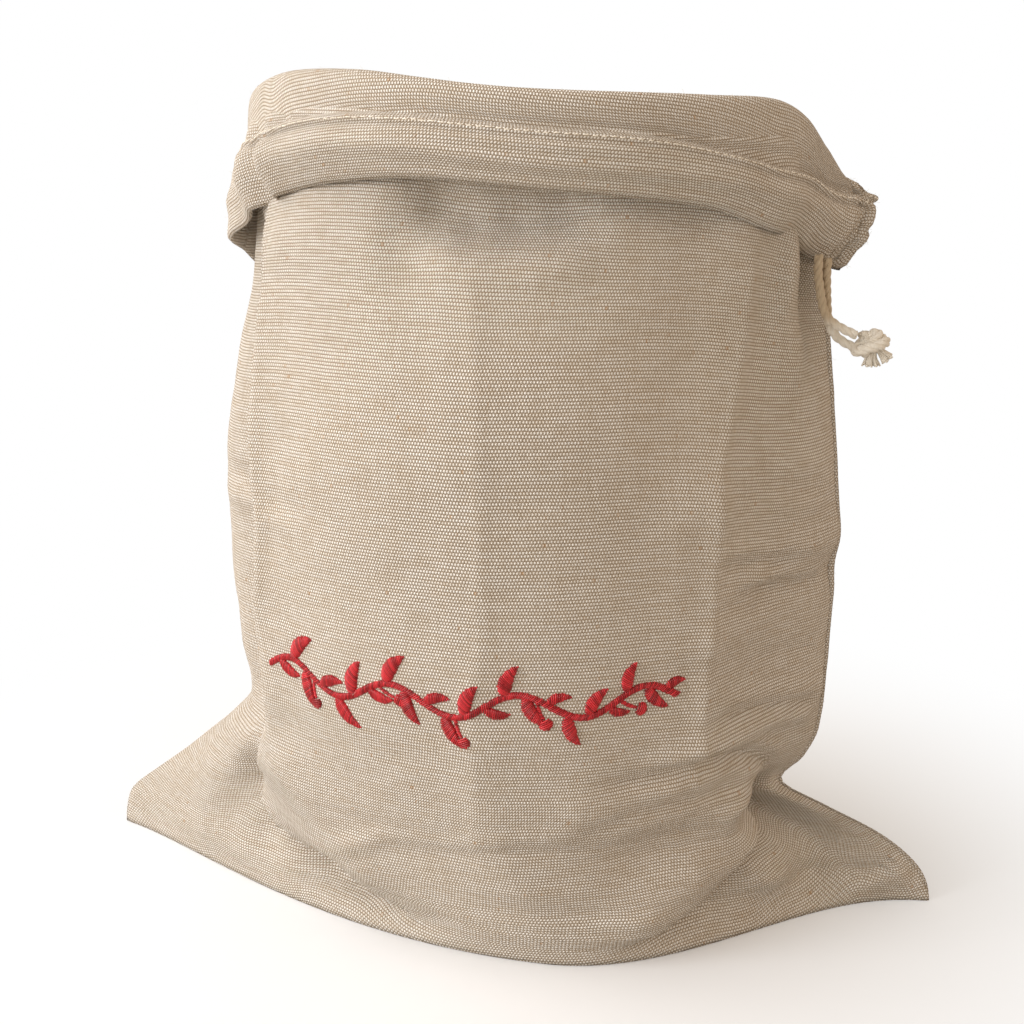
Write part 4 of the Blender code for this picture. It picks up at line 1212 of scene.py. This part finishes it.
def satin(line, widths, slant):
    """Threads across a shape whose middle line is given in metres along the row and up."""
    way = np.gradient(line, axis=0)
    way /= np.linalg.norm(way, axis=1)[:, None]
    across = np.column_stack([-way[:, 1], way[:, 0]])
    lean = math.tan(slant)
    across = across + way * lean
    share = np.linspace(-1, 1, 7)
    for middle, direction, width in zip(line, across, widths):
        reach = width / 2 + random.normal(0, 0.00007)
        spots = middle + direction * (share * reach)[:, None]
        at = np.interp(spots[:, 0], row_walked, place)
        lift = PADDING * min(1.0, width / 0.004) ** 0.7 * np.sqrt(np.clip(1 - share ** 2, 0, 1)) - 0.00005
        yield tube(on_wall(at, spots[:, 1]) + wall_normal(at, spots[:, 1]) * lift[:, None], THREAD_RADIUS, 5)


def stem_at(u):
    wave = 2 * math.pi * STEM_WAVES * (u - sprig_start) / (sprig_end - sprig_start)
    return SPRIG_HEIGHT + STEM_WAVE * np.sin(wave)


def arc_line(start, angle, bend, length):
    """A bowed middle line: where it starts, its first direction, how far it turns, and its length."""
    count = max(4, round(length / THREAD_PITCH))
    turn = angle + bend * np.linspace(0, 1, count)
    steps = np.column_stack([np.cos(turn), np.sin(turn)]) * length / count
    return np.asarray(start) + np.cumsum(steps, axis=0)


threads = []
stem_u = np.linspace(sprig_start, sprig_end, round((sprig_end - sprig_start) / THREAD_PITCH))
threads += satin(np.column_stack([stem_u, stem_at(stem_u)]), np.full(len(stem_u), STEM_WIDTH), 0.5)
for k, root in enumerate(np.linspace(sprig_start + 0.004, sprig_end - 0.004, 2 * LEAVES)):
    side = 1 if k % 2 else -1
    size = 1.0 - 0.22 * (k % 3 == 0) - 0.25 * k / (2 * LEAVES)
    slope = math.atan2(float(stem_at(root + 0.001) - stem_at(root)), 0.001)
    leaf = arc_line((root, float(stem_at(root))), slope + side * 1.15, -side * 0.75, LEAF_LENGTH * size)
    along = np.linspace(0, 1, len(leaf))
    threads += satin(leaf, LEAF_WIDTH * size * np.sin(math.pi * along ** 0.75) ** 0.8 + 0.0003, side * 0.35)
    if k % 4 == 2:
        stalk = arc_line((root + 0.004, float(stem_at(root + 0.004))), slope + side * 1.3, -side * 0.4, 0.0060)
        threads += satin(stalk, np.full(len(stalk), 0.0009), 0.5)
        berry = arc_line(stalk[-1], slope + side * 0.9, 0.0, 0.0042)
        along = np.linspace(0, 1, len(berry))
        threads += satin(berry, 0.0042 * np.sqrt(np.clip(1 - (2 * along - 1) ** 2, 0.02, 1)), 0.0)
points, faces = joined(threads)
sprig = new_piece("embroidered_sprig", (points, faces), rayon_thread, None)
print(len(threads), "threads over", round((sprig_end - sprig_start) * 1000), "mm")

# %% [markdown]
# ## Loose fibres
# Linen sheds: short fibres stand off its surface, most of all where the cloth is turned or gathered. Against
# a bright background they soften the outline, so a few hundred are planted over the whole bag.

# %% Fibres that stand off the cloth
FIBRE_RADIUS = 0.000032
random = np.random.default_rng(8)


def fibres(grid, rows, columns, count, low, high):
    """Thin curled fibres planted at random on a stretch of a cloth face."""
    for k in range(count):
        r, c = int(random.integers(*rows)), int(random.integers(*columns))
        root = grid[r, c % COLUMNS]
        normal = np.cross(grid[r, (c + 1) % COLUMNS] - root, grid[r + 1, c % COLUMNS] - root)
        size = np.linalg.norm(normal)
        if size < 1e-9:
            continue
        normal = normal / size * (1 if grid is outer_grid else -1)
        lean = random.normal(0, 1, 3)
        lean /= np.linalg.norm(lean)
        length = random.uniform(low, high)
        share = np.linspace(0, 1, 5)[:, None]
        route = root + length * (normal * share * 0.5 + lean * share ** 1.5 * 0.8)
        route[:, 2] = np.maximum(route[:, 2], 0.0002)
        yield tube(route, FIBRE_RADIUS, 3)


last_wall = len(BASE_STEPS) + len(WALL_STEPS)
band_rows = (len(inner_grid) - 20, len(inner_grid) - 2)
loose = list(fibres(outer_grid, (10, last_wall), (0, COLUMNS), 620, 0.0006, 0.0019))
loose += list(fibres(inner_grid, (60, len(inner_grid) - 2), (0, COLUMNS), 330, 0.0006, 0.0017))
loose += list(fibres(inner_grid, band_rows, (half - 16, half + 16), 300, 0.0006, 0.0017))
new_piece("loose_fibres", joined(loose), sewing_thread, "linen")

# %% [markdown]
# ## A pale table and soft light
# Soft light from the front left and above gives the cloth its shape: the left of the front is bright, and
# the right side falls into half shade. The table is a large pale plane that isn't part of the bag. To the
# camera it fades into a white backdrop, and it throws back only part of the light, as a grey table does, so
# that the shadow side of the bag stays dark enough to show its folds.

# %% Table and backdrop
TABLE = 3.0
TABLE_CLEAR = 0.05          # distance from the middle where the fade into white starts
TABLE_WHITE = 0.30
tree, table_paint = new_material("matt pale lacquer")
seen = add_node(tree, "ShaderNodeLightPath").outputs["Is Camera Ray"]
tone = add_node(tree, "ShaderNodeMix", {0: seen, 6: linear("B5B1AA"), 7: linear("F5F9FF")}, data_type="RGBA")
lacquer = add_node(tree, "ShaderNodeBsdfPrincipled", {"Base Color": tone.outputs[2], "Roughness": 0.8})
glow = add_node(tree, "ShaderNodeEmission", {"Color": linear("FFFFFF"), "Strength": 1.0})
away = add_node(tree, "ShaderNodeVectorMath", {0: add_node(tree, "ShaderNodeTexCoord").outputs["Object"]},
                operation="LENGTH").outputs["Value"]
fade = add_node(tree, "ShaderNodeMapRange", {0: away, 1: TABLE_CLEAR, 2: TABLE_WHITE},
                interpolation_type="SMOOTHSTEP")
share = add_node(tree, "ShaderNodeMath", {0: fade, 1: seen}, operation="MULTIPLY")
add_node(tree, "ShaderNodeOutputMaterial", {"Surface": add_node(tree, "ShaderNodeMixShader",
         {0: share, 1: lacquer, 2: glow})})
table_data = bpy.data.meshes.new("table")
table_data.from_pydata([(-TABLE, -TABLE, -0.0002), (TABLE, -TABLE, -0.0002), (TABLE, TABLE, -0.0002),
                        (-TABLE, TABLE, -0.0002)], [], [(0, 1, 2, 3)])
table_data.materials.append(table_paint)
table = bpy.data.objects.new("table", table_data)
bpy.context.scene.collection.objects.link(table)
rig.stage(table)

# %% Lights
# name, place, size, power, colour
LIGHTS = (
    ("window", (-1.35, -0.94, 0.60), 0.9, 19.5, "FFFEFE"),
    ("reflector", (-0.44, -1.63, 0.37), 0.9, 5.0, "FBFDFD"),
    ("skylight", (-0.95, -0.10, 1.25), 1.0, 10.0, "FFFCF8"),
    ("warm wall", (1.55, 0.25, 0.45), 1.0, 3.5, "FFDCBC"),
)
AMBIENT = 0.64
for name, spot, size, power, colour in LIGHTS:
    lamp = bpy.data.lights.new(name, "AREA")
    lamp.size = size
    lamp.energy = power
    lamp.color = linear(colour)[:3]
    light = bpy.data.objects.new(name, lamp)
    light.location = spot
    light.rotation_euler = (Vector((0.0, 0.0, 0.12)) - Vector(spot)).to_track_quat("-Z", "Y").to_euler()
    bpy.context.scene.collection.objects.link(light)
world = bpy.data.worlds.new("studio")
world.use_nodes = True
tree = world.node_tree
tree.nodes.clear()
seen = add_node(tree, "ShaderNodeLightPath").outputs["Is Camera Ray"]
tone = add_node(tree, "ShaderNodeMix", {0: seen, 6: linear("FFEDD8"), 7: linear("FFFFFF")}, data_type="RGBA")
strength = add_node(tree, "ShaderNodeMapRange", {0: seen, 3: AMBIENT, 4: 1.0})
add_node(tree, "ShaderNodeOutputWorld", {"Surface": add_node(tree, "ShaderNodeBackground",
         {"Color": tone.outputs[2], "Strength": strength})})
bpy.context.scene.world = world
bpy.context.scene.view_settings.view_transform = "Standard"
print(len(LIGHTS), "lights and an ambient light of", AMBIENT)

# %% Keep both boxes and finish
VISUAL_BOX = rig.bounds()
with open("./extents.json", "w") as file:
    json.dump({"cad": [list(map(float, corner)) for corner in CAD_BOX],
               "visual": [list(map(float, corner)) for corner in VISUAL_BOX]}, file)
print("visual box", VISUAL_BOX)
